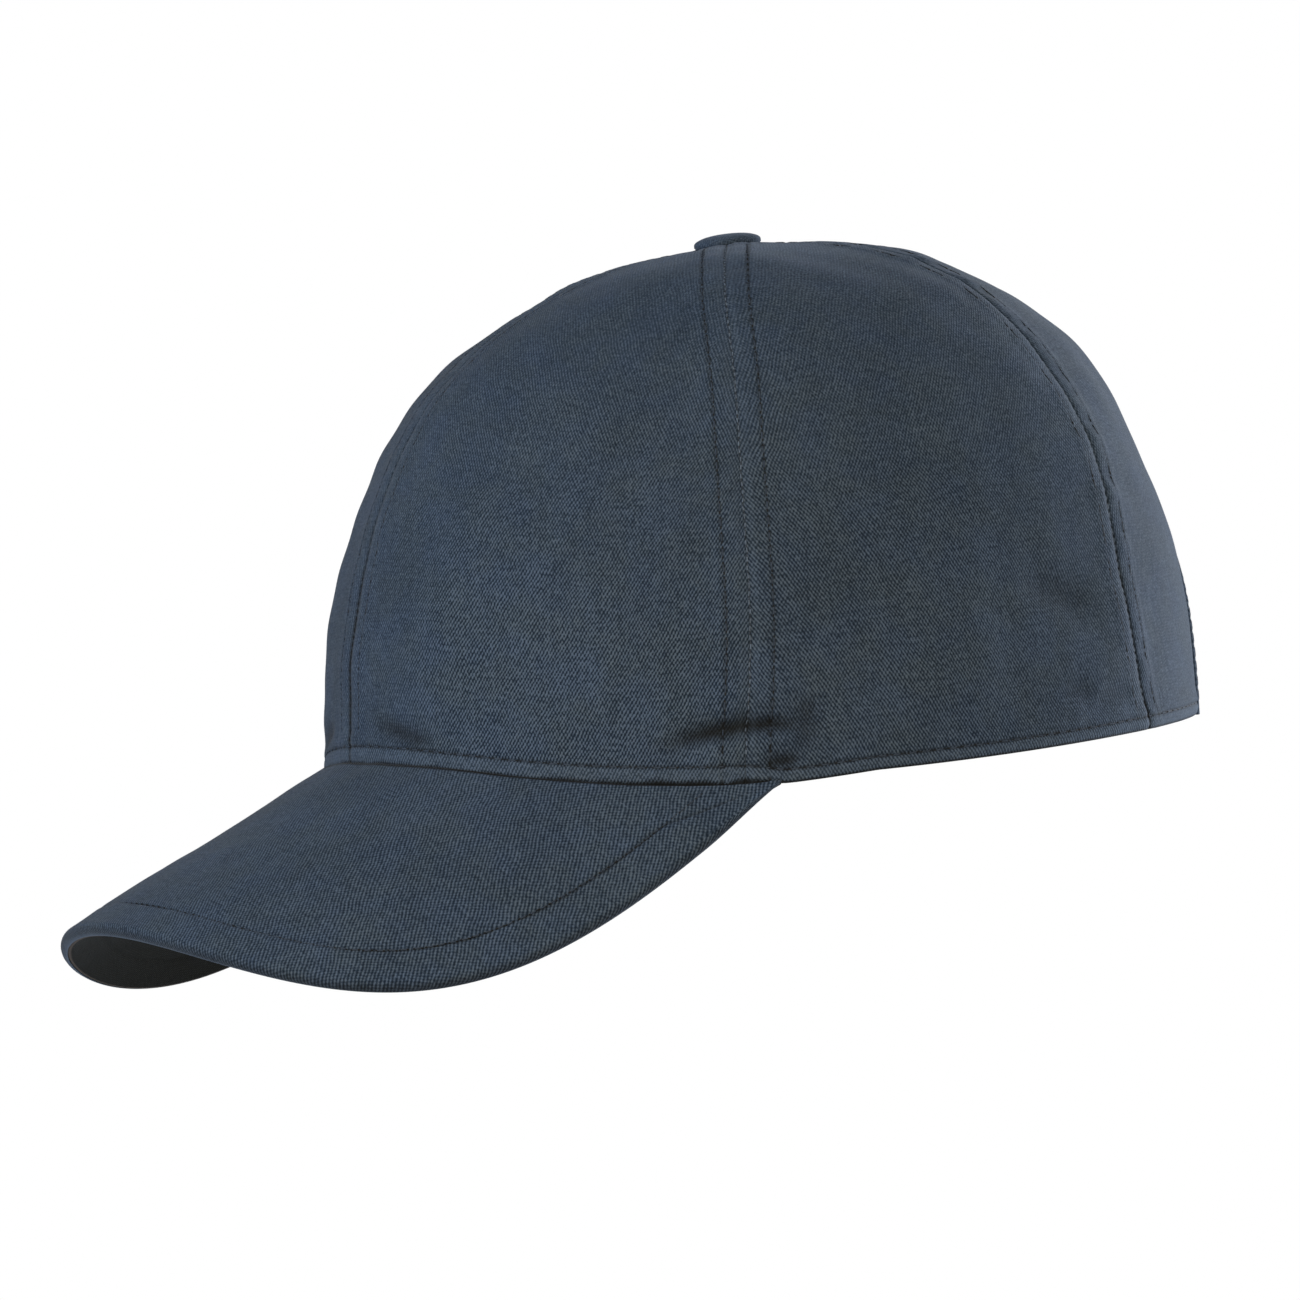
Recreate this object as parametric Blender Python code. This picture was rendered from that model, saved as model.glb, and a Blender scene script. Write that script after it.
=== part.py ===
"""Six-panel baseball cap with a curved visor, a fabric-covered top button and a strap-and-clasp back.

Frame: the origin is the middle of the head opening, +Z is up, the visor points along -Y and +X is the
wearer's left. Lengths are in metres. The crown is laid out by two numbers: theta turns from the front (0)
through the wearer's left (90 degrees) to the back (180), and t climbs from the hem (0) to the button (1).
"""

import math

import bmesh
import bpy
import numpy as np
from mathutils import Matrix, Vector

MM = 0.001

# ---- Driving dimensions: the crown ----
HEAD_HALF_LENGTH = 102 * MM
HEAD_HALF_WIDTH = 87 * MM
CROWN_HEIGHT = 122 * MM
BACK_HEM_RISE = 9.6 * MM
FRONT_HEM_HEIGHT = 12.3 * MM
FRONT_HEM_SHARPNESS = 6.7
HEM_LAP = 1.3 * MM
HEM_LAP_FADE = 0.2
# Handles of the profile's Bezier curve at the front, side and back, as shares of its reach and height.
WALL_LEAN = (-0.032, -0.029, 0.023)
WALL_RISE = (0.675, 0.703, 0.642)
TOP_REACH = (0.633, 0.745, 0.705)
TOP_DROP = (0.037, -0.007, -0.031)
FRONT_SEAM = math.radians(65.6)
REAR_SEAM = math.radians(125.3)
BACK = math.pi

# ---- Driving dimensions: the visor, an arched board that droops forward ----
VISOR_DROOP = math.radians(26.2)
VISOR_ARCH_WIDTH = 110.8 * MM
VISOR_ARCH_DEPTH = 119.4 * MM
VISOR_LENGTH = 71.2 * MM
VISOR_CORNER = math.radians(69.1)
VISOR_FRONT_HANDLE = 110.9 * MM
VISOR_SIDE_HANDLE = 58.7 * MM
VISOR_SIDE_ANGLE = math.radians(82.8)
VISOR_THICKNESS = 3.4 * MM
VISOR_BOARD = (-1.1 * MM, -2.4 * MM)
VISOR_COVER = 0.6 * MM
VISOR_BLUNT = 3 * MM
VISOR_ROWS = 5
VISOR_ROOT_SLANT = 0.8

# ---- Layers, as distances outward from the crown's outer surface ----
GAP = 0.3 * MM
PANEL = (0.0, -0.9 * MM)
BUCKRAM = (-1.2 * MM, -1.7 * MM)
TAPE = (-2.0 * MM, -2.5 * MM)
STRAP = (-1.4 * MM, -2.8 * MM)
CLASP_TAB = (-3.1 * MM, -3.9 * MM)
CLASP_PLATE = (-3.7 * MM, -4.4 * MM)
SWEATBAND_PAD = (-2.9 * MM, -4.0 * MM)
SWEATBAND = (-4.3 * MM, -4.9 * MM)

# Heights and distances below are measured along the cloth.
SHARED_ROWS = 15
APEX_HOLE = 2.2 * MM
BUCKRAM_FOOT = 2 * MM
BUCKRAM_HEAD = 12 * MM
BUCKRAM_SIDE = 3 * MM
TAPE_HALF_WIDTH = 6.5 * MM
TAPE_SHARE = 0.42
TAPE_FOOT = 3 * MM
TAPE_HEAD = 4.5 * MM
SWEATBAND_FOOT = 1 * MM
SWEATBAND_HEAD = 33 * MM
PAD_FOOT = 3 * MM
PAD_HEAD = 29 * MM
PAD_ANGLE = math.radians(72)

# ---- Driving dimensions: the opening, the strap and the clasp ----
OPENING_HALF_ANGLE = math.radians(30)
OPENING_HEIGHT = 50 * MM
OPENING_STEPS = 24
CUTTER_REACH = 30 * MM
BINDING = (1.5 * GAP, 2.6 * MM)
BINDING_DEPTH = (0.4 * MM, -1.0 * MM)
STRAP_BOTTOM = 8.6 * MM
STRAP_WIDTH = 18 * MM
STRAP_SEWN_END = 60 * MM
STRAP_TAIL_END = -57 * MM
TAB_END = -60 * MM
CLASP_CENTRE = -30 * MM
CLASP_LENGTH = 16 * MM
CLASP_HEIGHT = 23 * MM
PLATE_BEVEL = 0.2 * MM
CHEEK = 1.4 * MM
CHEEK_TOP = 2.3 * MM
CHEEK_BEVEL = 0.35 * MM
PIN_RADIUS = 0.9 * MM
PIN_ALONG = 5.2 * MM
PIN_OUT = 0.6 * MM
LEVER_BARREL = 1.5 * MM
LEVER_BORE = 1.0 * MM
LEVER_LENGTH = 13 * MM
LEVER_THICKNESS = 1.0 * MM
LEVER_BEVEL = 0.3 * MM
LIP_RADIUS = 0.8 * MM
TAB_TRIM = 1 * MM

# ---- Driving dimensions: the button ----
BUTTON_RADIUS = 7.6 * MM
BUTTON_HEIGHT = 3.4 * MM
BUTTON_FOOT = 0.5 * MM
BUTTON_RIM = 1.5 * MM
BUTTON_CLOTH = 0.7 * MM
SHELL_WALL = 0.5 * MM
POST_RADIUS = 1.4 * MM
POST_FOOT = -3.4 * MM
TACK_RADIUS = 6.0 * MM
TACK_THICKNESS = 0.6 * MM

FABRIC = "navy_fabric"
COLOURS = {
    FABRIC: ((0.045, 0.060, 0.088), 0.9, 0.0),
    "dark_lining": ((0.020, 0.021, 0.020), 0.9, 0.0),
    "black_tape": ((0.015, 0.016, 0.020), 0.85, 0.0),
    "white_buckram": ((0.62, 0.61, 0.57), 0.95, 0.0),
    "foam": ((0.50, 0.50, 0.48), 0.95, 0.0),
    "visor_board": ((0.70, 0.71, 0.70), 0.6, 0.0),
    "aged_brass": ((0.32, 0.24, 0.12), 0.4, 1.0),
    "steel": ((0.45, 0.46, 0.47), 0.35, 1.0),
}


# ---------------------------------------------------------------- the crown's shape
def round_blend(front_side_back, theta):
    """A value that passes through its front, side and back figures as theta goes round."""
    front, side, back = front_side_back
    mean = (front + back + 2 * side) / 4
    return mean + (front - back) / 2 * np.cos(theta) + (front + back - 2 * side) / 4 * np.cos(2 * theta)


def arch_angle(x):
    return np.arcsin(np.clip(x / VISOR_ARCH_WIDTH, -1, 1))


def hem_height(theta):
    """The hem climbs in front and gently to the back, and laps over the visor's root."""
    front = (1 + np.cos(theta)) / 2
    line = FRONT_HEM_HEIGHT * front**FRONT_HEM_SHARPNESS + BACK_HEM_RISE * (1 - front) ** 2
    past_corner = np.clip((math.cos(VISOR_CORNER) - np.cos(theta)) / HEM_LAP_FADE, 0, 1)
    return line - HEM_LAP * (1 - past_corner)


def crown(theta, t):
    """Points of the crown's outer surface."""
    theta, t = np.broadcast_arrays(np.asarray(theta, float), np.asarray(t, float))
    reach_low = 1 + round_blend(WALL_LEAN, theta)
    reach_high = round_blend(TOP_REACH, theta)
    rise_low = round_blend(WALL_RISE, theta)
    rise_high = 1 - round_blend(TOP_DROP, theta)
    a, b, c = (1 - t) ** 3, 3 * (1 - t) ** 2 * t, 3 * (1 - t) * t**2
    reach = a + b * reach_low + c * reach_high
    rise = b * rise_low + c * rise_high + t**3
    hem = hem_height(theta)
    return np.stack(
        [
            HEAD_HALF_WIDTH * np.sin(theta) * reach,
            -HEAD_HALF_LENGTH * np.cos(theta) * reach,
            hem * (1 - rise) + CROWN_HEIGHT * rise,
        ],
        axis=-1,
    )


def crown_normal(theta, t):
    step = 1e-4
    low, high = np.clip(t - step, 0, 1), np.clip(t + step, 0, 1)
    around = crown(theta + step, t) - crown(theta - step, t)
    up = crown(theta, high) - crown(theta, low)
    normal = np.cross(around, up)
    return normal / np.linalg.norm(normal, axis=-1, keepdims=True)


def layer(theta, t, offset):
    """Points at a distance outward from the crown's outer surface."""
    return crown(theta, t) + offset * crown_normal(theta, t)


def spacing(theta, t):
    """Length along the crown for each radian of theta."""
    step = 1e-4
    return np.linalg.norm(crown(theta + step, t) - crown(theta - step, t), axis=-1) / (2 * step)


def t_at_length(theta, length):
    """t where the profile at theta has climbed this far along the cloth from the hem."""
    t = np.linspace(0, 1, 240)
    steps = np.linalg.norm(np.diff(crown(theta, t), axis=0), axis=-1)
    return float(np.interp(length, np.concatenate([[0], np.cumsum(steps)]), t))


def t_near_apex(theta, radius):
    """t where the profile at theta comes this close to the crown's middle line."""
    t = np.linspace(0.5, 1, 400)
    away = np.linalg.norm(crown(theta, t)[:, :2], axis=-1)
    return float(np.interp(-radius, -away, t))


def t_at_height(theta, height):
    t = np.linspace(0, 0.8, 240)
    return float(np.interp(height, crown(theta, t)[:, 2], t))


def back_angle(distance, height=STRAP_BOTTOM + STRAP_WIDTH / 2):
    """theta at this distance round the back from its middle, positive towards the wearer's left."""
    theta = np.linspace(0, math.radians(70), 200)
    t = np.array([t_at_height(BACK - a, height) for a in theta])
    middle = layer(BACK - theta, t, sum(STRAP) / 2)
    steps = np.linalg.norm(np.diff(middle, axis=0), axis=-1)
    angle = np.interp(abs(distance), np.concatenate([[0], np.cumsum(steps)]), theta)
    return BACK - math.copysign(float(angle), distance)


# ---------------------------------------------------------------- building blocks
def material(name):
    found = bpy.data.materials.get(name)
    if found:
        return found
    colour, roughness, metallic = COLOURS[name]
    made = bpy.data.materials.new(name)
    made.use_nodes = True
    shader = made.node_tree.nodes["Principled BSDF"]
    shader.inputs["Base Color"].default_value = (*colour, 1)
    shader.inputs["Roughness"].default_value = roughness
    shader.inputs["Metallic"].default_value = metallic
    made.diffuse_color = (*colour, 1)
    return made


def add_object(name, bm, finish, smooth_angle=40):
    bmesh.ops.recalc_face_normals(bm, faces=bm.faces)
    mesh = bpy.data.meshes.new(name)
    bm.to_mesh(mesh)
    bm.free()
    mesh.shade_smooth()
    mesh.set_sharp_from_angle(angle=math.radians(smooth_angle))
    mesh.materials.append(material(finish))
    made = bpy.data.objects.new(name, mesh)
    bpy.context.scene.collection.objects.link(made)
    return made


def slab(name, outer, inner, finish):
    """A closed sheet between two grids of points, each of shape (rows, columns, 3)."""
    rows, columns = outer.shape[:2]
    bm = bmesh.new()
    sides = []
    for grid in (outer, inner):
        sides.append([[bm.verts.new(point) for point in row] for row in grid.tolist()])
    for side in sides:
        for i in range(rows - 1):
            for j in range(columns - 1):
                bm.faces.new((side[i][j], side[i][j + 1], side[i + 1][j + 1], side[i + 1][j]))
    rim = [(0, j) for j in range(columns)]
    rim += [(i, columns - 1) for i in range(1, rows)]
    rim += [(rows - 1, j) for j in range(columns - 2, -1, -1)]
    rim += [(i, 0) for i in range(rows - 2, 0, -1)]
    for (i, j), (k, m) in zip(rim, rim[1:] + rim[:1]):
        bm.faces.new((sides[0][i][j], sides[0][k][m], sides[1][k][m], sides[1][i][j]))
    return add_object(name, bm, finish)


def loft(name, loops, finish):
    """A closed solid through a row of closed loops of points, with its two ends capped."""
    bm = bmesh.new()
    rings = [[bm.verts.new(point) for point in np.asarray(loop).tolist()] for loop in loops]
    count = len(rings[0])
    for ring, following in zip(rings, rings[1:]):
        for k in range(count):
            m = (k + 1) % count
            bm.faces.new((ring[k], ring[m], following[m], following[k]))
    bm.faces.new(rings[0])
    bm.faces.new(rings[-1])
    bmesh.ops.triangulate(bm, faces=[f for f in bm.faces if len(f.verts) > 4])
    return add_object(name, bm, finish)


def turned(name, profile, finish, placed, segments=20):
    """A solid turned about its local Z axis from a closed outline of (radius, height) points."""
    bm = bmesh.new()
    verts = [bm.verts.new((radius, 0, height)) for radius, height in profile]
    edges = [bm.edges.new((a, b)) for a, b in zip(verts, verts[1:] + verts[:1])]
    bmesh.ops.spin(
        bm,
        geom=verts + edges,
        cent=(0, 0, 0),
        axis=(0, 0, 1),
        angle=2 * math.pi,
        steps=segments,
        use_merge=True,
    )
    bmesh.ops.remove_doubles(bm, verts=bm.verts, dist=1e-6)
    bmesh.ops.dissolve_degenerate(bm, edges=bm.edges, dist=1e-7)
    made = add_object(name, bm, finish)
    made.matrix_world = placed
    return made


def block(name, size, centre, finish, bevel=0.0):
    """A box of this size about centre, with its edges rounded by bevel."""
    bm = bmesh.new()
    bmesh.ops.create_cube(bm, size=1, matrix=Matrix.Translation(centre) @ Matrix.Diagonal((*size, 1)))
    if bevel:
        bmesh.ops.bevel(bm, geom=list(bm.edges), offset=bevel, segments=2, profile=0.5, affect="EDGES")
    return add_object(name, bm, finish)


def rod(name, radius, length, centre, finish, segments=20):
    """A cylinder along local Z."""
    bm = bmesh.new()
    bmesh.ops.create_cone(
        bm,
        cap_ends=True,
        segments=segments,
        radius1=radius,
        radius2=radius,
        depth=length,
        matrix=Matrix.Translation(centre),
    )
    return add_object(name, bm, finish)


def combine(target, other, operation):
    """Adds a Boolean to target. The other object becomes a hidden helper."""
    modifier = target.modifiers.new(other.name, "BOOLEAN")
    modifier.operation = operation
    modifier.solver = "EXACT"
    modifier.object = other
    other.hide_render = True
    other.display_type = "WIRE"


# ---------------------------------------------------------------- the crown's pieces
def crown_patch(name, start, end, lengths_or_ts, layers, finish, columns=8, inset=GAP / 2):
    """A sheet between two seam angles, drawn in by inset at each, over the given rows of t."""
    theta_rows, t_rows = [], []
    for t in lengths_or_ts:
        low = start + inset / spacing(start, t)
        high = end - inset / spacing(end, t)
        theta_rows.append(np.linspace(low, high, columns + 1))
        t_rows.append(np.full(columns + 1, t))
    theta, t = np.array(theta_rows), np.array(t_rows)
    return slab(name, layer(theta, t, layers[0]), layer(theta, t, layers[1]), finish)


def rows_between(low, high):
    """The shared rows of t from low to high, so that neighbouring layers bend along the same lines."""
    shared = np.linspace(0, 1, SHARED_ROWS + 1)
    clear = 0.3 / SHARED_ROWS
    return np.concatenate([[low], shared[(shared > low + clear) & (shared < high - clear)], [high]])


def opening_edge(angle, inset=0.0):
    """(theta, length up the cloth) on the opening's arch. angle is 0 at the left foot and pi at the right."""
    half = OPENING_HALF_ANGLE - inset / HEAD_HALF_WIDTH
    return BACK - half * math.cos(angle), (OPENING_HEIGHT - inset) * math.sin(angle)


def opening_cutter():
    outline = [opening_edge(a) for a in np.linspace(0, math.pi, OPENING_STEPS + 1)]
    rings = []
    for offset in (CUTTER_REACH, -CUTTER_REACH):
        ring = [layer(theta, t_at_length(theta, up), offset) for theta, up in outline]
        for theta in (outline[-1][0], outline[0][0]):
            ring.append(layer(theta, 0.0, offset) - np.array([0, 0, CUTTER_REACH]))
        rings.append(ring)
    return loft("opening_cutter", rings, FABRIC)


def make_panels():
    seams = {
        "front_panel_left": (0, FRONT_SEAM),
        "side_panel_left": (FRONT_SEAM, REAR_SEAM),
        "rear_panel_left": (REAR_SEAM, BACK),
        "rear_panel_right": (BACK, 2 * BACK - REAR_SEAM),
        "side_panel_right": (2 * BACK - REAR_SEAM, 2 * BACK - FRONT_SEAM),
        "front_panel_right": (2 * BACK - FRONT_SEAM, 2 * BACK),
    }
    cutter = opening_cutter()
    for name, (start, end) in seams.items():
        rows = rows_between(0, t_near_apex((start + end) / 2, APEX_HOLE))
        made = crown_patch(name, start, end, rows, PANEL, FABRIC)
        if name.startswith("rear"):
            combine(made, cutter, "DIFFERENCE")


def make_buckrams():
    """The stiff lining behind the two front panels, short of the sewn seams and of the crown's top."""
    for name, start, end in (("left", 0, FRONT_SEAM), ("right", 2 * BACK - FRONT_SEAM, 2 * BACK)):
        middle = (start + end) / 2
        rows = rows_between(t_at_length(middle, BUCKRAM_FOOT), t_near_apex(middle, BUCKRAM_HEAD))
        crown_patch(f"front_buckram_{name}", start, end, rows, BUCKRAM, "white_buckram", inset=BUCKRAM_SIDE)


def make_tapes():
    """A tape inside each seam, tapering at the top where the six meet under the button."""
    narrowest = min(FRONT_SEAM, REAR_SEAM - FRONT_SEAM, BACK - REAR_SEAM)
    seams = {
        "seam_tape_front": (0, TAPE_FOOT),
        "seam_tape_front_left": (FRONT_SEAM, TAPE_FOOT),
        "seam_tape_rear_left": (REAR_SEAM, TAPE_FOOT),
        "seam_tape_rear": (BACK, OPENING_HEIGHT + 2 * TAPE_FOOT),
        "seam_tape_rear_right": (2 * BACK - REAR_SEAM, TAPE_FOOT),
        "seam_tape_front_right": (2 * BACK - FRONT_SEAM, TAPE_FOOT),
    }
    for name, (seam, start) in seams.items():
        rows = rows_between(t_at_length(seam, start), t_near_apex(seam, TAPE_HEAD))
        theta_rows = []
        for t in rows:
            half = min(TAPE_HALF_WIDTH / float(spacing(seam, t)), TAPE_SHARE * narrowest)
            theta_rows.append(np.linspace(seam - half, seam + half, 3))
        theta = np.array(theta_rows)
        t = np.repeat(rows[:, None], 3, axis=1)
        slab(name, layer(theta, t, TAPE[0]), layer(theta, t, TAPE[1]), "black_tape")


def band(name, start, end, low, high, layers, finish, columns):
    """A strip round the inside of the crown between two distances up from the hem."""
    theta = np.linspace(start, end, columns + 1)
    rows = np.linspace(low, high, 4)
    t = np.array([[t_at_length(angle, length) for angle in theta] for length in rows])
    theta = np.repeat(theta[None, :], len(rows), axis=0)
    slab(name, layer(theta, t, layers[0]), layer(theta, t, layers[1]), finish)


def make_sweatband():
    end = BACK - OPENING_HALF_ANGLE - GAP / HEAD_HALF_WIDTH
    band("sweatband", -end, end, SWEATBAND_FOOT, SWEATBAND_HEAD, SWEATBAND, "dark_lining", 40)
    band("sweatband_pad", -PAD_ANGLE, PAD_ANGLE, PAD_FOOT, PAD_HEAD, SWEATBAND_PAD, "foam", 20)


def make_opening_binding():
    """The strip that finishes the opening's edge, standing just inside the cut."""
    loops = []
    for angle in np.linspace(0, math.pi, OPENING_STEPS + 1):
        loop = []
        for inset, side in ((BINDING[0], 0), (BINDING[1], 0), (BINDING[1], 1), (BINDING[0], 1)):
            theta, up = opening_edge(angle, inset)
            loop.append(layer(theta, t_at_length(theta, up), BINDING_DEPTH[side]))
        loops.append(loop)
    loft("opening_binding", loops, FABRIC)


# ---------------------------------------------------------------- the visor
def visor_point(s, v, offset):
    """A point of the visor. s runs across along the arch, v forward along its middle line."""
    angle = s / VISOR_ARCH_WIDTH
    across, outward = VISOR_ARCH_DEPTH * np.sin(angle), VISOR_ARCH_WIDTH * np.cos(angle)
    length = np.hypot(across, outward)
    x = VISOR_ARCH_WIDTH * np.sin(angle) + offset * across / length
    n = -VISOR_ARCH_DEPTH * (1 - np.cos(angle)) + offset * outward / length
    y = -HEAD_HALF_LENGTH - math.cos(VISOR_DROOP) * v - math.sin(VISOR_DROOP) * n
    z = FRONT_HEM_HEIGHT - math.sin(VISOR_DROOP) * v + math.cos(VISOR_DROOP) * n
    return np.array([x, y, z])


def on_visor(theta, inset):
    """(s, v) on the visor of the hem's point at theta, moved inward from the crown's outside."""
    angle = arch_angle((HEAD_HALF_WIDTH - inset) * math.sin(theta))
    n = -VISOR_ARCH_DEPTH * (1 - math.cos(angle))
    back = HEAD_HALF_LENGTH - (HEAD_HALF_LENGTH - inset) * math.cos(theta)
    v = (-back - math.sin(VISOR_DROOP) * n) / math.cos(VISOR_DROOP)
    return np.array([VISOR_ARCH_WIDTH * angle, v])


def visor_outline(share):
    """(s, v) on the visor's outer edge, from its middle, 0, to its corner, 1: one Bezier curve."""
    corner = on_visor(VISOR_CORNER, 0)
    side = np.array([math.cos(VISOR_SIDE_ANGLE), math.sin(VISOR_SIDE_ANGLE)])
    points = (
        np.array([0, VISOR_LENGTH]),
        np.array([VISOR_FRONT_HANDLE, VISOR_LENGTH]),
        corner + VISOR_SIDE_HANDLE * side,
        corner,
    )
    weights = ((1 - share) ** 3, 3 * (1 - share) ** 2 * share, 3 * (1 - share) * share**2, share**3)
    return sum(w * p for w, p in zip(weights, points))


def visor_columns(edge_inset, offset, count=28):
    """Pairs of (root, edge) points in (s, v) across the visor, from the right corner to the left.

    The root stands clear of the crown, and further out for a deeper layer, so its face is upright.
    """
    pairs = []
    limit = 1 - VISOR_BLUNT / (2 * VISOR_LENGTH)
    for share in np.linspace(-limit, limit, count + 1):
        size = abs(share)
        root = on_visor(size * VISOR_CORNER, -GAP + VISOR_ROOT_SLANT * offset)
        edge = visor_outline(size)
        step = 1e-4
        along = visor_outline(min(size + step, 1)) - visor_outline(size - step)
        along /= np.linalg.norm(along)
        edge = edge + edge_inset * np.array([along[1], -along[0]])
        flip = np.array([math.copysign(1, share), 1])
        pairs.append((root * flip, edge * flip))
    return pairs


def visor_sheet(name, edge_inset, layers, finish, rows=VISOR_ROWS):
    grids = []
    for offset in layers:
        pairs = visor_columns(edge_inset, offset)
        grid = []
        for share in np.linspace(0, 1, rows + 1):
            grid.append([visor_point(*(root + share * (edge - root)), offset) for root, edge in pairs])
        grids.append(np.array(grid))
    slab(name, grids[0], grids[1], finish)


def make_visor_top_cover():
    """The top cloth, which turns down round the board's outer edge."""
    rows = VISOR_ROWS
    outer_pairs = visor_columns(0, 0)
    inner_pairs = visor_columns(VISOR_COVER, -VISOR_COVER)
    loops = []
    for (root, edge), (inner_root, inner_edge) in zip(outer_pairs, inner_pairs):
        top = [visor_point(*(root + share * (edge - root)), 0.0) for share in np.linspace(0, 1, rows + 1)]
        wall = [
            visor_point(*edge, -VISOR_THICKNESS),
            visor_point(*inner_edge, -VISOR_THICKNESS),
        ]
        under = [
            visor_point(*(inner_root + share * (inner_edge - inner_root)), -VISOR_COVER)
            for share in np.linspace(1, 0, rows + 1)
        ]
        loops.append(top + wall + under)
    loft("visor_top_cover", loops, FABRIC)


def make_visor():
    make_visor_top_cover()
    inside = VISOR_COVER + 1.5 * GAP
    visor_sheet("visor_board", inside, VISOR_BOARD, "visor_board")
    under = (VISOR_BOARD[1] - GAP, -VISOR_THICKNESS)
    visor_sheet("visor_under_cover", inside, under, "dark_lining")


# ---------------------------------------------------------------- the button
def apex_matrix():
    """The crown's top, with local Z square to the cloth."""
    front = crown(0.0, t_near_apex(0.0, BUTTON_RADIUS))
    back = crown(BACK, t_near_apex(BACK, BUTTON_RADIUS))
    along = Vector(back - front).normalized()
    normal = Vector((1, 0, 0)).cross(along)
    rotation = normal.to_track_quat("Z", "Y")
    base = Vector((front + back) / 2)
    return Matrix.Translation(base) @ rotation.to_matrix().to_4x4()


def dome(radius, height, count=5):
    """(radius, height) points from the rim up to the axis of a low round dome."""
    turns = np.linspace(0, math.pi / 2, count)
    return [(radius * math.cos(a), height * math.sin(a)) for a in turns]


def cap_profile(radius, top):
    """The outline of a dome that stands on the button's rim."""
    return [(r, BUTTON_RIM + h) for r, h in dome(radius, top - BUTTON_RIM)]


def make_button():
    placed = apex_matrix()
    shell_inset = BUTTON_CLOTH + GAP
    shell_top = BUTTON_HEIGHT - shell_inset
    cover = cap_profile(BUTTON_RADIUS, BUTTON_HEIGHT)
    cover += cap_profile(BUTTON_RADIUS - BUTTON_CLOTH, BUTTON_HEIGHT - BUTTON_CLOTH)[::-1]
    cover += [
        (BUTTON_RADIUS - 2 * BUTTON_CLOTH, BUTTON_FOOT + BUTTON_CLOTH),
        (BUTTON_RADIUS - 2 * BUTTON_CLOTH, BUTTON_FOOT),
        (BUTTON_RADIUS - BUTTON_CLOTH / 2, BUTTON_FOOT),
    ]
    turned("button_cover", cover, FABRIC, placed)
    shell = cap_profile(BUTTON_RADIUS - shell_inset, shell_top)
    shell += cap_profile(BUTTON_RADIUS - shell_inset - SHELL_WALL, shell_top - SHELL_WALL)[::-1]
    turned("button_shell", shell, "steel", placed)
    post_top = shell_top - SHELL_WALL - GAP
    post = [(0, post_top), (POST_RADIUS, post_top), (POST_RADIUS, POST_FOOT), (0, POST_FOOT)]
    turned("button_post", post, "steel", placed, 16)
    hole = POST_RADIUS + GAP
    tack = [(hole, POST_FOOT), (TACK_RADIUS, POST_FOOT)]
    tack += [(radius, POST_FOOT + TACK_THICKNESS) for radius, _ in (tack[1], tack[0])]
    turned("button_tack", tack, "steel", placed)


# ---------------------------------------------------------------- the strap and its clasp
def strap_piece(name, start, end, layers, finish, columns, trim=0.0):
    """A level strip round the back between two distances from its middle."""
    theta = np.linspace(back_angle(start), back_angle(end), columns + 1)
    heights = np.linspace(STRAP_BOTTOM + trim, STRAP_BOTTOM + STRAP_WIDTH - trim, 4)
    t = np.array([[t_at_height(angle, height) for angle in theta] for height in heights])
    theta = np.repeat(theta[None, :], len(heights), axis=0)
    slab(name, layer(theta, t, layers[0]), layer(theta, t, layers[1]), finish)


def clasp_matrix():
    """The clasp's middle on the crown's surface line: local X along the strap, Y outward, Z up."""
    theta = back_angle(CLASP_CENTRE)
    t = t_at_height(theta, STRAP_BOTTOM + STRAP_WIDTH / 2)
    centre = Vector(crown(theta, t))
    outward = Vector(crown_normal(theta, t))
    outward.z = 0
    outward.normalize()
    along = outward.cross(Vector((0, 0, 1)))
    rotation = Matrix((along, outward, (0, 0, 1))).transposed()
    return Matrix.Translation(centre) @ rotation.to_4x4()


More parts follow.
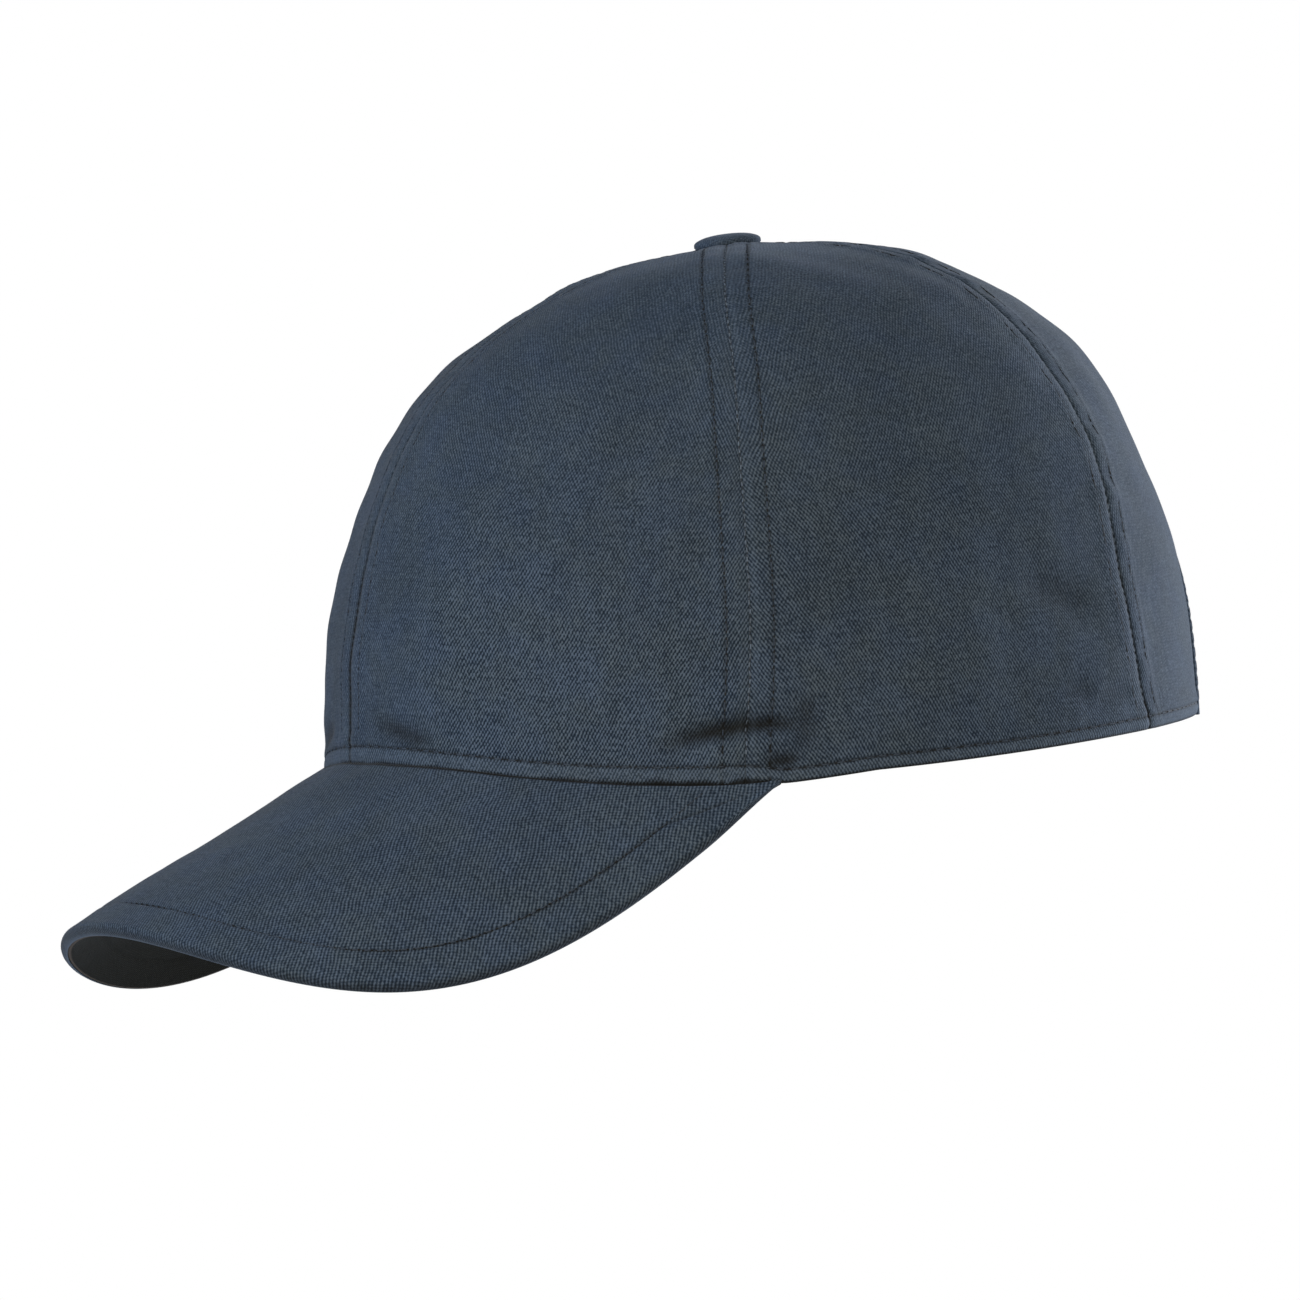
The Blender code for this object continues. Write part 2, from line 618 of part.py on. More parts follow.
def make_clasp():
    placed = clasp_matrix()
    plate_depth = CLASP_PLATE[0] - CLASP_PLATE[1]
    plate_y = sum(CLASP_PLATE) / 2
    frame = block(
        "clasp_frame", (CLASP_LENGTH, plate_depth, CLASP_HEIGHT), (0, plate_y, 0), "aged_brass", PLATE_BEVEL
    )
    cheek_depth = CHEEK_TOP - CLASP_PLATE[1]
    cheek_z = (CLASP_HEIGHT - CHEEK) / 2
    for sign in (1, -1):
        cheek = block(
            f"cheek_helper_{sign}",
            (CLASP_LENGTH, cheek_depth, CHEEK),
            (0, CLASP_PLATE[1] + cheek_depth / 2, sign * cheek_z),
            "aged_brass",
            CHEEK_BEVEL,
        )
        cheek.matrix_world = placed
        combine(frame, cheek, "UNION")
    pin_at = (PIN_ALONG, PIN_OUT, 0)
    hole = rod("pin_hole_helper", PIN_RADIUS + GAP, 2 * CLASP_HEIGHT, pin_at, "steel")
    hole.matrix_world = placed
    combine(frame, hole, "DIFFERENCE")
    frame.matrix_world = placed
    inner_height = CLASP_HEIGHT - 2 * CHEEK - 2 * GAP
    hinge = bpy.data.objects.new("clasp_hinge", None)
    bpy.context.scene.collection.objects.link(hinge)
    hinge.matrix_world = placed @ Matrix.Translation(pin_at)
    lever = rod("clasp_lever", LEVER_BARREL, inner_height, (0, 0, 0), "aged_brass", 24)
    plate = block(
        "lever_plate_helper",
        (LEVER_LENGTH, LEVER_THICKNESS, inner_height),
        (-LEVER_LENGTH / 2, LEVER_BARREL - LEVER_THICKNESS, 0),
        "aged_brass",
        LEVER_BEVEL,
    )
    lip_at = (-LEVER_LENGTH, LEVER_BARREL - LEVER_THICKNESS, 0)
    lip = rod("lever_lip_helper", LIP_RADIUS, inner_height, lip_at, "aged_brass")
    bore = rod("lever_bore_helper", LEVER_BORE, 2 * CLASP_HEIGHT, (0, 0, 0), "steel", 24)
    for helper, operation in ((plate, "UNION"), (lip, "UNION"), (bore, "DIFFERENCE")):
        helper.parent = hinge
        combine(lever, helper, operation)
    lever.parent = hinge
    pin = rod("clasp_pin", PIN_RADIUS, CLASP_HEIGHT - 2 * PLATE_BEVEL, pin_at, "steel")
    pin.matrix_world = placed


def make_strap():
    strap_piece("adjuster_strap", STRAP_SEWN_END, STRAP_TAIL_END, STRAP, FABRIC, 26)
    tab_start = CLASP_CENTRE - CLASP_LENGTH / 2 - GAP
    strap_piece("clasp_tab", tab_start, TAB_END, CLASP_TAB, FABRIC, 8, TAB_TRIM)


def main():
    for existing in list(bpy.data.objects):
        bpy.data.objects.remove(existing)
    make_panels()
    make_buckrams()
    make_tapes()
    make_sweatband()
    make_opening_binding()
    make_visor()
    make_button()
    make_strap()
    make_clasp()


main()
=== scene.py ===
"""Looks for the baseball cap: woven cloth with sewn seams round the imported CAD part."""

import math

import bpy
import numpy as np
from mathutils import Matrix, Vector


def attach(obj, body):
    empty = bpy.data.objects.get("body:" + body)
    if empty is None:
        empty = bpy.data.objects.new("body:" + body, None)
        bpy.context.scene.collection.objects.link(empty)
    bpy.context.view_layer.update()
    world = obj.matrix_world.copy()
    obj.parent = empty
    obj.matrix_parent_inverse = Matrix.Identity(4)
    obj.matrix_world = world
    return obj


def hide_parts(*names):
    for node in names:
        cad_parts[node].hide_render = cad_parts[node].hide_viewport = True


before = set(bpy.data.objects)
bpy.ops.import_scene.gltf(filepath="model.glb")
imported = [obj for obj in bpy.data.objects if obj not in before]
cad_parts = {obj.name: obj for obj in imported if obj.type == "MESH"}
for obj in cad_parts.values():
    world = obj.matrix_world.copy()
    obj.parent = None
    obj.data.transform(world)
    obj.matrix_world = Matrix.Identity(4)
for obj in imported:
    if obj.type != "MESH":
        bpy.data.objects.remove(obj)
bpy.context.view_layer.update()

MM = 0.001

# ---- The crown's outer surface, the same figures as in the CAD part ----
HEAD_HALF_LENGTH = 102 * MM
HEAD_HALF_WIDTH = 87 * MM
ARC_RADIUS = HEAD_HALF_WIDTH * 1.06
CROWN_HEIGHT = 122 * MM
BACK_HEM_RISE = 9.6 * MM
FRONT_HEM_HEIGHT = 12.3 * MM
FRONT_HEM_SHARPNESS = 6.7
HEM_LAP = 1.3 * MM
HEM_LAP_FADE = 0.2
WALL_LEAN = (-0.032, -0.029, 0.023)
WALL_RISE = (0.675, 0.703, 0.642)
TOP_REACH = (0.633, 0.745, 0.705)
TOP_DROP = (0.037, -0.007, -0.031)
FRONT_SEAM = math.radians(65.6)
REAR_SEAM = math.radians(125.3)
BACK = math.pi

# ---- The visor, the same figures as in the CAD part, except for a finer corner ----
VISOR_DROOP = math.radians(26.2)
VISOR_ARCH_WIDTH = 110.8 * MM
VISOR_ARCH_DEPTH = 119.4 * MM
VISOR_LENGTH = 71.2 * MM
VISOR_CORNER = math.radians(69.1)
VISOR_FRONT_HANDLE = 110.9 * MM
VISOR_SIDE_HANDLE = 58.7 * MM
VISOR_SIDE_ANGLE = math.radians(82.8)
VISOR_THICKNESS = 3.4 * MM
VISOR_BLUNT = 0.8 * MM
VISOR_ROOT_GAP = 0.3 * MM
VISOR_ROOT_SLANT = 0.8
VISOR_CORNER_THICKNESS = 0.3

# ---- The opening, strap and button, the same figures as in the CAD part ----
OPENING_HALF_ANGLE = math.radians(30)
OPENING_HEIGHT = 50 * MM
STRAP_BOTTOM = 8.6 * MM
STRAP_WIDTH = 18 * MM
STRAP_ENDS = (-57 * MM, 60 * MM)
STRAP_DEPTH = (-1.4 * MM, -2.8 * MM)
TAB_ENDS = (-60 * MM, -38.3 * MM)
TAB_DEPTH = (-3.1 * MM, -3.9 * MM)
BUTTON_RADIUS = 7.6 * MM
BUTTON_HEIGHT = 3.4 * MM
BUTTON_RIM = 1.5 * MM
BUTTON_FOOT = 0.5 * MM
BUTTON_CLOTH = 0.7 * MM

# ---- Cloth and sewing ----
WARP_PITCH = 0.40
WEFT_PITCH = 0.67
CLOTH = 0.8 * MM
STITCH_PITCH = 3.3 * MM
STITCH_LENGTH = 2.5 * MM
# The rings along a stitch: its share of the stitch's length, its thickness and how far it's raised, in radii.
STITCH_RINGS = np.array([
    (-0.57, 0.9, -0.5),
    (-0.37, 1.45, -0.4),
    (-0.28, 1.1, 0.1),
    (0.28, 1.1, 0.1),
    (0.37, 1.45, -0.4),
    (0.57, 0.9, -0.5),
])
THREAD_RADIUS = 0.16 * MM
SEAM_ROW = 5.1 * MM
ROW_FOOT = 4 * MM
HEM_ROW = 2.9 * MM
HEM_ROW_FRONT = 4.2 * MM
VISOR_ROW = 9.5 * MM
APEX_RADIUS = 2.2 * MM
NEAR_MARKS = np.array(
    [0.02, 0.15, 0.35, 0.6, 0.9, 1.2, 1.6, 2.1, 2.7, 3.4, 3.9, 4.3, 4.7, 5.1, 5.5, 6.0, 6.7, 7.8, 9]
) * MM
HEM_MARKS = np.array(
    [0, 0.3, 0.7, 1.1, 1.4, 1.8, 2.3, 2.6, 2.9, 3.2, 3.6, 3.9, 4.2, 4.5, 4.9, 5.5, 6.2, 7]
) * MM
ROUND = np.linspace(-math.pi, 2 * math.pi, 2161)


# ---------------------------------------------------------------- the crown's shape
def bezier_weights(t):
    return (1 - t) ** 3, 3 * (1 - t) ** 2 * t, 3 * (1 - t) * t**2, t**3


def round_blend(front_side_back, theta):
    front, side, back = front_side_back
    mean = (front + back + 2 * side) / 4
    return mean + (front - back) / 2 * np.cos(theta) + (front + back - 2 * side) / 4 * np.cos(2 * theta)


def hem_height(theta):
    """Height of the hem, high at the back and over the visor."""
    front = (1 + np.cos(theta)) / 2
    line = FRONT_HEM_HEIGHT * front**FRONT_HEM_SHARPNESS + BACK_HEM_RISE * (1 - front) ** 2
    past_corner = np.clip((math.cos(VISOR_CORNER) - np.cos(theta)) / HEM_LAP_FADE, 0, 1)
    return line - HEM_LAP * (1 - past_corner)


def crown(theta, t):
    """Points of the crown's outer surface: theta is 0 in front, t is 0 at the hem and 1 at the top."""
    theta, t = np.broadcast_arrays(np.asarray(theta, float), np.asarray(t, float))
    reach_low = 1 + round_blend(WALL_LEAN, theta)
    reach_high = round_blend(TOP_REACH, theta)
    rise_low = round_blend(WALL_RISE, theta)
    rise_high = 1 - round_blend(TOP_DROP, theta)
    a, b, c, d = bezier_weights(t)
    reach = a + b * reach_low + c * reach_high
    rise = b * rise_low + c * rise_high + d
    x = HEAD_HALF_WIDTH * np.sin(theta) * reach
    y = -HEAD_HALF_LENGTH * np.cos(theta) * reach
    z = hem_height(theta) * (1 - rise) + CROWN_HEIGHT * rise
    return np.stack([x, y, z], axis=-1)


def unit(vectors):
    return vectors / np.linalg.norm(vectors, axis=-1, keepdims=True)


def crown_axes(theta, t):
    """Unit vectors round the crown, up it and outward from it."""
    step = 1e-4
    low, high = np.clip(t - step, 0, 1), np.clip(t + step, 0, 1)
    around = crown(theta + step, t) - crown(theta - step, t)
    up = crown(theta, high) - crown(theta, low)
    outward = unit(np.cross(around, up))
    return unit(around), unit(up), outward


def spacing(theta, t):
    """Length round the crown for each radian of theta."""
    step = 1e-4
    return np.linalg.norm(crown(theta + step, t) - crown(theta - step, t), axis=-1) / (2 * step)


def climb_table():
    """For each theta of ROUND, the length climbed from the hem at each of a row of t."""
    t = np.linspace(0, 1, 401)
    points = crown(ROUND[:, None], t[None, :])
    steps = np.linalg.norm(np.diff(points, axis=1), axis=-1)
    climbed = np.concatenate([np.zeros((len(ROUND), 1)), np.cumsum(steps, axis=1)], axis=1)
    away = np.linalg.norm(points[..., :2], axis=-1)
    return t, climbed, away


T_STEPS, CLIMBED, AWAY = climb_table()


def round_place(theta):
    """The entry of ROUND below each theta, and how far each lies towards the next entry."""
    place = (theta - ROUND[0]) / (ROUND[1] - ROUND[0])
    low = np.clip(place.astype(int), 0, len(ROUND) - 2)
    return low, place - low


def t_of(theta, climb):
    """t where the crown at each theta has climbed this far up the cloth."""
    theta, climb = np.broadcast_arrays(np.asarray(theta, float), np.asarray(climb, float))
    low, share = round_place(theta.ravel())
    result = np.empty(theta.size)
    for k, (i, f, c) in enumerate(zip(low, share, climb.ravel())):
        result[k] = (1 - f) * np.interp(c, CLIMBED[i], T_STEPS) + f * np.interp(c, CLIMBED[i + 1], T_STEPS)
    return result.reshape(theta.shape)


def near_apex(theta, radius, values):
    """The entry of a row over t, or over the climb, where the crown comes within a radius of its axis."""
    index = int(np.argmin(np.abs(ROUND - theta)))
    row = values if values.ndim == 1 else values[index]
    return float(np.interp(-radius, -AWAY[index], row))


def climb_at(theta, t):
    """Length climbed from the hem at each place."""
    low, share = round_place(theta)
    column = t * (len(T_STEPS) - 1)
    left = np.clip(column.astype(int), 0, len(T_STEPS) - 2)
    part = column - left
    below = CLIMBED[low, left] * (1 - part) + CLIMBED[low, left + 1] * part
    above = CLIMBED[low + 1, left] * (1 - part) + CLIMBED[low + 1, left + 1] * part
    return (1 - share) * below + share * above


def t_table(climbs_at):
    """Rows of t, one for each column of ROUND, where climbs_at gives each row's climb for a full length."""
    full = np.array([np.interp(-APEX_RADIUS, -away, climbed) for away, climbed in zip(AWAY, CLIMBED)])
    climbs = climbs_at(full)
    rows = np.array([np.interp(climbs[:, i], CLIMBED[i], T_STEPS) for i in range(len(ROUND))]).T
    return climbs, rows


# ---------------------------------------------------------------- unevenness and folds
def ripple(points, wavelength, seed, waves=14):
    """A smooth random height of about 1 over 3-D points, with bumps of about this wavelength."""
    rng = np.random.default_rng(seed)
    total = np.zeros(points.shape[:-1])
    for _ in range(waves):
        direction = rng.normal(size=3)
        direction /= np.linalg.norm(direction)
        wave = direction * 2 * math.pi / (wavelength * rng.uniform(0.7, 1.5))
        total += np.sin(points @ wave + rng.uniform(0, 2 * math.pi))
    return total / math.sqrt(waves / 2)


def smooth(value, low, high):
    """0 below low and 1 above high, with a smooth step between."""
    x = np.clip((value - low) / (high - low), 0, 1)
    return x * x * (3 - 2 * x)


def bell(value, middle, width):
    """1 at the middle, falling to 0 on both sides."""
    return np.exp(-(((value - middle) / width) ** 2))


def signed(theta):
    """theta brought between -pi and pi, so that 0 is the front."""
    return (theta + math.pi) % (2 * math.pi) - math.pi


def turned(theta):
    """How far round from the front, on either side."""
    return np.abs(signed(theta))


def filled(like, value):
    return np.full(like.shape, value)


def even_cloth(shape, lean=0.5, painted_shade=0.0, worn=0.0, crisp=0.7):
    """The cloth's fields where they're the same all over."""
    return {
        "lean": np.full(shape, lean),
        # How much painted shade the piece carries.
        "painted_shade": np.full(shape, painted_shade),
        "worn": np.full(shape, worn),
        "crisp": np.full(shape, crisp),
    }


DEEPEST_FOLD = ((53, 6), (54, 7.4), (56.4, 9.7), (58.4, 11), (62, 12.3), (64.6, 13), (67.8, 13.2), (74, 12.0))
# Folds of the cloth: a path of (degrees round from the front, height up the cloth in mm), then in mm the
# valley's depth and half width and the rise above and below it, and how much painted shade lies along its
# bottom.
FOLDS = (
    (DEEPEST_FOLD, 2.0, 2.1, 0.8, 0.8, 0.85),
    (((66.2, 4.9), (68.6, 5.0), (71.8, 4.9)), 1.1, 1.6, 0.1, 0.0, 0.75),
    (((71.6, 5), (72.2, 10), (72.6, 15), (72.2, 20)), 0.8, 2.5, 0.2, 0.2, 0.42),
    (((6, 9.5), (13, 7.8), (18.5, 6.2), (21.5, 5.2)), 1.0, 2.4, 0.3, 0.0, 0.6),
    (((103, 38), (109, 34), (117, 29)), 0.9, 4.5, 0.4, 0.2, 0.28),
    (((100.5, 45), (100.8, 22), (101.4, 8)), 0.5, 3.5, 0.2, 0.3, 0.0),
    (((108, 11), (111.4, 12), (114.6, 8)), 0.6, 2.6, 0.3, 0.2, 0.25),
    (((113, 6), (118, 9), (124, 10)), 0.5, 2.2, 0.4, 0.1, 0.15),
)
# The hem rides up beside the side seams: middle and spread in degrees round, then lift and reach up in mm.
HEM_LIFT = (65.6, 2.6, 0.45, 5.5)


def beside_path(x, y, corners):
    """Each place's distance from a path, that with a sign for its side, its run along it, and the length."""
    nearest = np.full(x.shape, 1e9)
    side, along = np.zeros(x.shape), np.zeros(x.shape)
    span = 0.0
    for a, b in zip(corners, corners[1:]):
        run = b - a
        length = math.hypot(*run)
        held = np.clip(((x - a[0]) * run[0] + (y - a[1]) * run[1]) / (run @ run), 0, 1)
        away = np.hypot(x - a[0] - held * run[0], y - a[1] - held * run[1])
        cross = (run[0] * (y - a[1]) - run[1] * (x - a[0])) / length
        closer = away < nearest
        nearest = np.where(closer, away, nearest)
        side = np.where(closer, np.where(cross >= 0, 1, -1) * away, side)
        along = np.where(closer, span + held * length, along)
        span += length
    return nearest, side, along, span


def fold_relief(theta, climb):
    """Height of the folds at each place, how far each place slides down the cloth, and the painted shade on
    it.
    """
    height, slide, dark = (np.zeros(theta.shape) for _ in range(3))
    x, y = turned(theta) * ARC_RADIUS / MM, climb / MM
    for path, depth, width, above, below, shade in FOLDS:
        corners = np.array(path, float)
        corners[:, 0] = np.radians(corners[:, 0]) * ARC_RADIUS / MM
        nearest, side, along, span = beside_path(x, y, corners)
        fade = smooth(along, -0.02, 0.4 * span) * (1 - smooth(along, 0.66 * span, span + 0.02)) * 0.92 + 0.08
        fade *= bell(np.maximum(nearest - 4 * width, 0), 0, 2 * width)
        height -= depth * fade * bell(side, 0, width)
        height += above * fade * bell(side, 2.4 * width, 1.6 * width)
        height += below * fade * bell(side, -2.2 * width, 1.5 * width)
        slide += 0.2 * depth * fade * bell(side, 1.1 * width, 1.1 * width)
        # Painted shade along each valley's bottom.
        dark = np.maximum(dark, shade * fade * bell(side, 0, 0.95 * width))
    return height * MM, slide * MM, dark


def hem_lift(theta, climb):
    """How far the hem rides up the crown beside the side seams."""
    middle, spread, lift, reach = HEM_LIFT
    near = bell(np.degrees(turned(theta)), middle, spread)
    return lift * MM * near * np.clip(1 - climb / (reach * MM), 0, 1)


def drape(theta, t, climb):
    """Height of the cloth's broad unevenness and folds, and the slide of the folds."""
    points = crown(theta, t)
    broad = 0.42 * MM * ripple(points, 52 * MM, 3) + 0.13 * MM * ripple(points, 17 * MM, 5)
    steady = smooth(climb, 1 * MM, 22 * MM) * (1 - 0.5 * smooth(climb, 120 * MM, 150 * MM))
    steady *= 1 - 0.85 * smooth(turned(theta), 2.2, 2.5) * (1 - smooth(climb, 36 * MM, 60 * MM))
    height, slide, _ = fold_relief(theta, climb)
    slide = slide - hem_lift(theta, climb)
    from_top = np.linalg.norm(points[..., :2], axis=-1)
    collar = bell(from_top, 9.5 * MM, 3.2 * MM) * bell(theta, 1.25, 0.7)
    return broad * steady + height + 0.55 * MM * collar, slide


def lining_point(theta, t, climb, offset):
    """A point of an inner layer, which the folds push in broadly but the other unevenness doesn't reach."""
    pushed = np.zeros(np.shape(climb))
    for shift in np.linspace(-3, 3, 5) * MM:
        pushed = np.minimum(pushed, fold_relief(theta, climb + shift)[0])
    _, up, outward = crown_axes(theta, t)
    place = crown(theta, t) + (pushed + offset)[..., None] * outward
    return place + hem_lift(theta, climb)[..., None] * up


def cloth_point(theta, t, climb, offset):
    """A point at this distance outward from the draped crown."""
    height, slide = drape(theta, t, climb)
    _, up, outward = crown_axes(theta, t)
    return crown(theta, t) + (height + offset)[..., None] * outward - slide[..., None] * up


# ---------------------------------------------------------------- mesh building
def add_object(name, data):
    made = bpy.data.objects.new(name, data)
    bpy.context.scene.collection.objects.link(made)
    return made


def build(name, points, faces, material, uv=None, fields=None, smooth_angle=50):
    mesh = bpy.data.meshes.new(name)
    mesh.from_pydata(points.reshape(-1, 3).tolist(), [], faces)
    mesh.shade_smooth()
    mesh.set_sharp_from_angle(angle=math.radians(smooth_angle))
    if uv is not None:
        corners = np.empty(len(mesh.loops), int)
        mesh.loops.foreach_get("vertex_index", corners)
        layer = mesh.uv_layers.new(name="weave")
        layer.uv.foreach_set("vector", uv.reshape(-1, 2)[corners].astype(np.float32).ravel())
    for field, values in (fields or {}).items():
        made = mesh.attributes.new(field, "FLOAT", "POINT")
        made.data.foreach_set("value", values.astype(np.float32).ravel())
    mesh.materials.append(material)
    return add_object(name, mesh)


def closed_sheet(name, outer, inner, material, uv, fields=None, smooth_angle=50):
    """A sheet of cloth between two grids of points, closed all round its rim."""
    rows, columns = outer.shape[:2]
    count = rows * columns
    index = np.arange(count).reshape(rows, columns)
    front = np.stack([index[:-1, :-1], index[:-1, 1:], index[1:, 1:], index[1:, :-1]], -1).reshape(-1, 4)
    rim = np.concatenate([index[0, :], index[1:, -1], index[-1, -2::-1], index[-2:0:-1, 0]])
    after = np.roll(rim, -1)
    wall = np.stack([rim, rim + count, after + count, after], -1)
    faces = np.concatenate([front, front[:, ::-1] + count, wall]).tolist()
    points = np.concatenate([outer.reshape(-1, 3), inner.reshape(-1, 3)])
    uv = np.concatenate([uv.reshape(-1, 2)] * 2)
    fields = {key: np.concatenate([value.ravel()] * 2) for key, value in (fields or {}).items()}
    return build(name, points, faces, material, uv, fields, smooth_angle)


def tube(name, loops, material, uv, fields=None, smooth_angle=60):
    """A solid through a row of closed loops, (loops, points, 3), with both ends capped."""
    count, around = loops.shape[:2]
    index = np.arange(count * around).reshape(count, around)
    beside = np.roll(index, -1, axis=1)
    walls = np.stack([index[:-1], beside[:-1], beside[1:], index[1:]], -1).reshape(-1, 4).tolist()
    faces = walls + [index[0, ::-1].tolist(), index[-1].tolist()]
    return build(name, loops, faces, material, uv, fields, smooth_angle)


def rounded_section(width, depth, corner, corner_steps=3):
    """Points (across, outward) round a rectangle with rounded corners, centred on 0."""
    points = []
    for sx, sy, start in ((1, 1, 0), (-1, 1, 90), (-1, -1, 180), (1, -1, 270)):
        for angle in np.radians(np.linspace(start, start + 90, corner_steps + 1)):
            x = sx * (width / 2 - corner) + corner * math.cos(angle)
            y = sy * (depth / 2 - corner) + corner * math.sin(angle)
            points.append((x, y))
    return np.array(points)


def stitches(
    name, points, outward, material, pitch=STITCH_PITCH, length=STITCH_LENGTH, radius=THREAD_RADIUS, seed=1
):
    """A row of thread stitches along a path of points, sunk at both ends into the cloth."""
    rng = np.random.default_rng(seed)
    steps = np.linalg.norm(np.diff(points, axis=0), axis=-1)
    run = np.concatenate([[0], np.cumsum(steps)])
    shares, thick, raised = STITCH_RINGS.T
    sides = 6
    turns = np.linspace(0, 2 * math.pi, sides, endpoint=False)
    rings, faces, ends = [], [], []
    for k, middle in enumerate(np.arange(pitch * 0.6, run[-1] - pitch * 0.6, pitch)):
        middle += rng.normal() * 0.05 * pitch
        long = length * (1 + rng.normal() * 0.05)
        places = middle + shares * long
        path = np.stack([np.interp(places, run, points[:, i]) for i in range(3)], -1)
        out = unit(np.array([np.interp(middle, run, outward[:, i]) for i in range(3)]))
        along = unit(path[-1] - path[0])
        across = np.cross(out, along)
        path += across * (shares * rng.normal() * 0.12 * MM)[:, None]
        path += out * (raised * radius)[:, None]
        for j in range(len(shares)):
            circle = np.cos(turns)[:, None] * across + np.sin(turns)[:, None] * out
            rings.append(path[j] + circle * radius * thick[j])
            # The end rings carry painted shade, where the thread goes into the cloth.
            ends.append(np.full(sides, 1.0 if abs(shares[j]) > 0.3 else 0.0))
        first = k * len(shares) * sides
        for j in range(len(shares) - 1):
            for m in range(sides):
                a, b = first + j * sides + m, first + j * sides + (m + 1) % sides
                faces.append((a, b, b + sides, a + sides))
        faces.append(tuple(first + m for m in range(sides - 1, -1, -1)))
        faces.append(tuple(first + (len(shares) - 1) * sides + m for m in range(sides)))
    return build(name, np.array(rings), faces, material, fields={"painted_shade": np.array(ends)}, smooth_angle=80)


# ---------------------------------------------------------------- materials
class Graph:
    """Short ways to add shader nodes to one material."""

    def __init__(self, name):
        self.material = bpy.data.materials.new(name)
        self.material.use_nodes = True
        self.tree = self.material.node_tree
        self.shader = self.tree.nodes["Principled BSDF"]

    def put(self, value, socket):
        if isinstance(value, (int, float)):
            socket.default_value = value
        elif isinstance(value, tuple):
            socket.default_value = (*value, 1) if len(socket.default_value) == 4 else value
        else:
            self.tree.links.new(value, socket)

    def math(self, operation, *values):
        node = self.tree.nodes.new("ShaderNodeMath")
        node.operation = operation
        for value, socket in zip(values, node.inputs):
            self.put(value, socket)
        return node.outputs[0]

    def times(self, a, b):
        return self.math("MULTIPLY", a, b)

    def centred(self, value, size):
        """A noise of 0 to 1 as a swing of this size about 0."""
        return self.times(self.math("SUBTRACT", value, 0.5), size)

    def total(self, *values):
        result = values[0]
        for value in values[1:]:
            result = self.math("ADD", result, value)
        return result

    def field(self, name):
        node = self.tree.nodes.new("ShaderNodeAttribute")
        node.attribute_name = name
        return node.outputs["Fac"]

    def weave_place(self):
        node = self.tree.nodes.new("ShaderNodeUVMap")
        node.uv_map = "weave"
        split = self.tree.nodes.new("ShaderNodeSeparateXYZ")
        self.tree.links.new(node.outputs[0], split.inputs[0])
        return split.outputs[0], split.outputs[1]

    def place(self):
        return self.tree.nodes.new("ShaderNodeTexCoord").outputs["Object"]

    def vector(self, x, y, z=0.0):
        node = self.tree.nodes.new("ShaderNodeCombineXYZ")
        for value, socket in zip((x, y, z), node.inputs):
            self.put(value, socket)
        return node.outputs[0]

    def noise(self, place, scale, detail=2.0, roughness=0.5):
        node = self.tree.nodes.new("ShaderNodeTexNoise")
        self.tree.links.new(place, node.inputs["Vector"])
        node.inputs["Scale"].default_value = scale
        node.inputs["Detail"].default_value = detail
        node.inputs["Roughness"].default_value = roughness
        return node.outputs[0]

    def ramp(self, value, *stops):
        node = self.tree.nodes.new("ShaderNodeValToRGB")
        self.tree.links.new(value, node.inputs[0])
        while len(node.color_ramp.elements) < len(stops):
            node.color_ramp.elements.new(0.5)
        for element, (position, colour) in zip(node.color_ramp.elements, stops):
            element.position = position
            element.color = (*colour, 1)
        return node.outputs[0]

    def mix(self, share, a, b, blend="MIX"):
        node = self.tree.nodes.new("ShaderNodeMix")
        node.data_type = "RGBA"
        node.blend_type = blend
        self.put(share, node.inputs[0])
        self.put(a, node.inputs[6])
        self.put(b, node.inputs[7])
        return node.outputs[2]

    def bump(self, height, strength, distance):
        node = self.tree.nodes.new("ShaderNodeBump")
        node.inputs["Strength"].default_value = strength
        node.inputs["Distance"].default_value = distance
        self.tree.links.new(height, node.inputs["Height"])
        self.tree.links.new(node.outputs[0], self.shader.inputs["Normal"])

    def set(self, **values):
        for key, value in values.items():
            self.put(value, self.shader.inputs[key.replace("_", " ")])


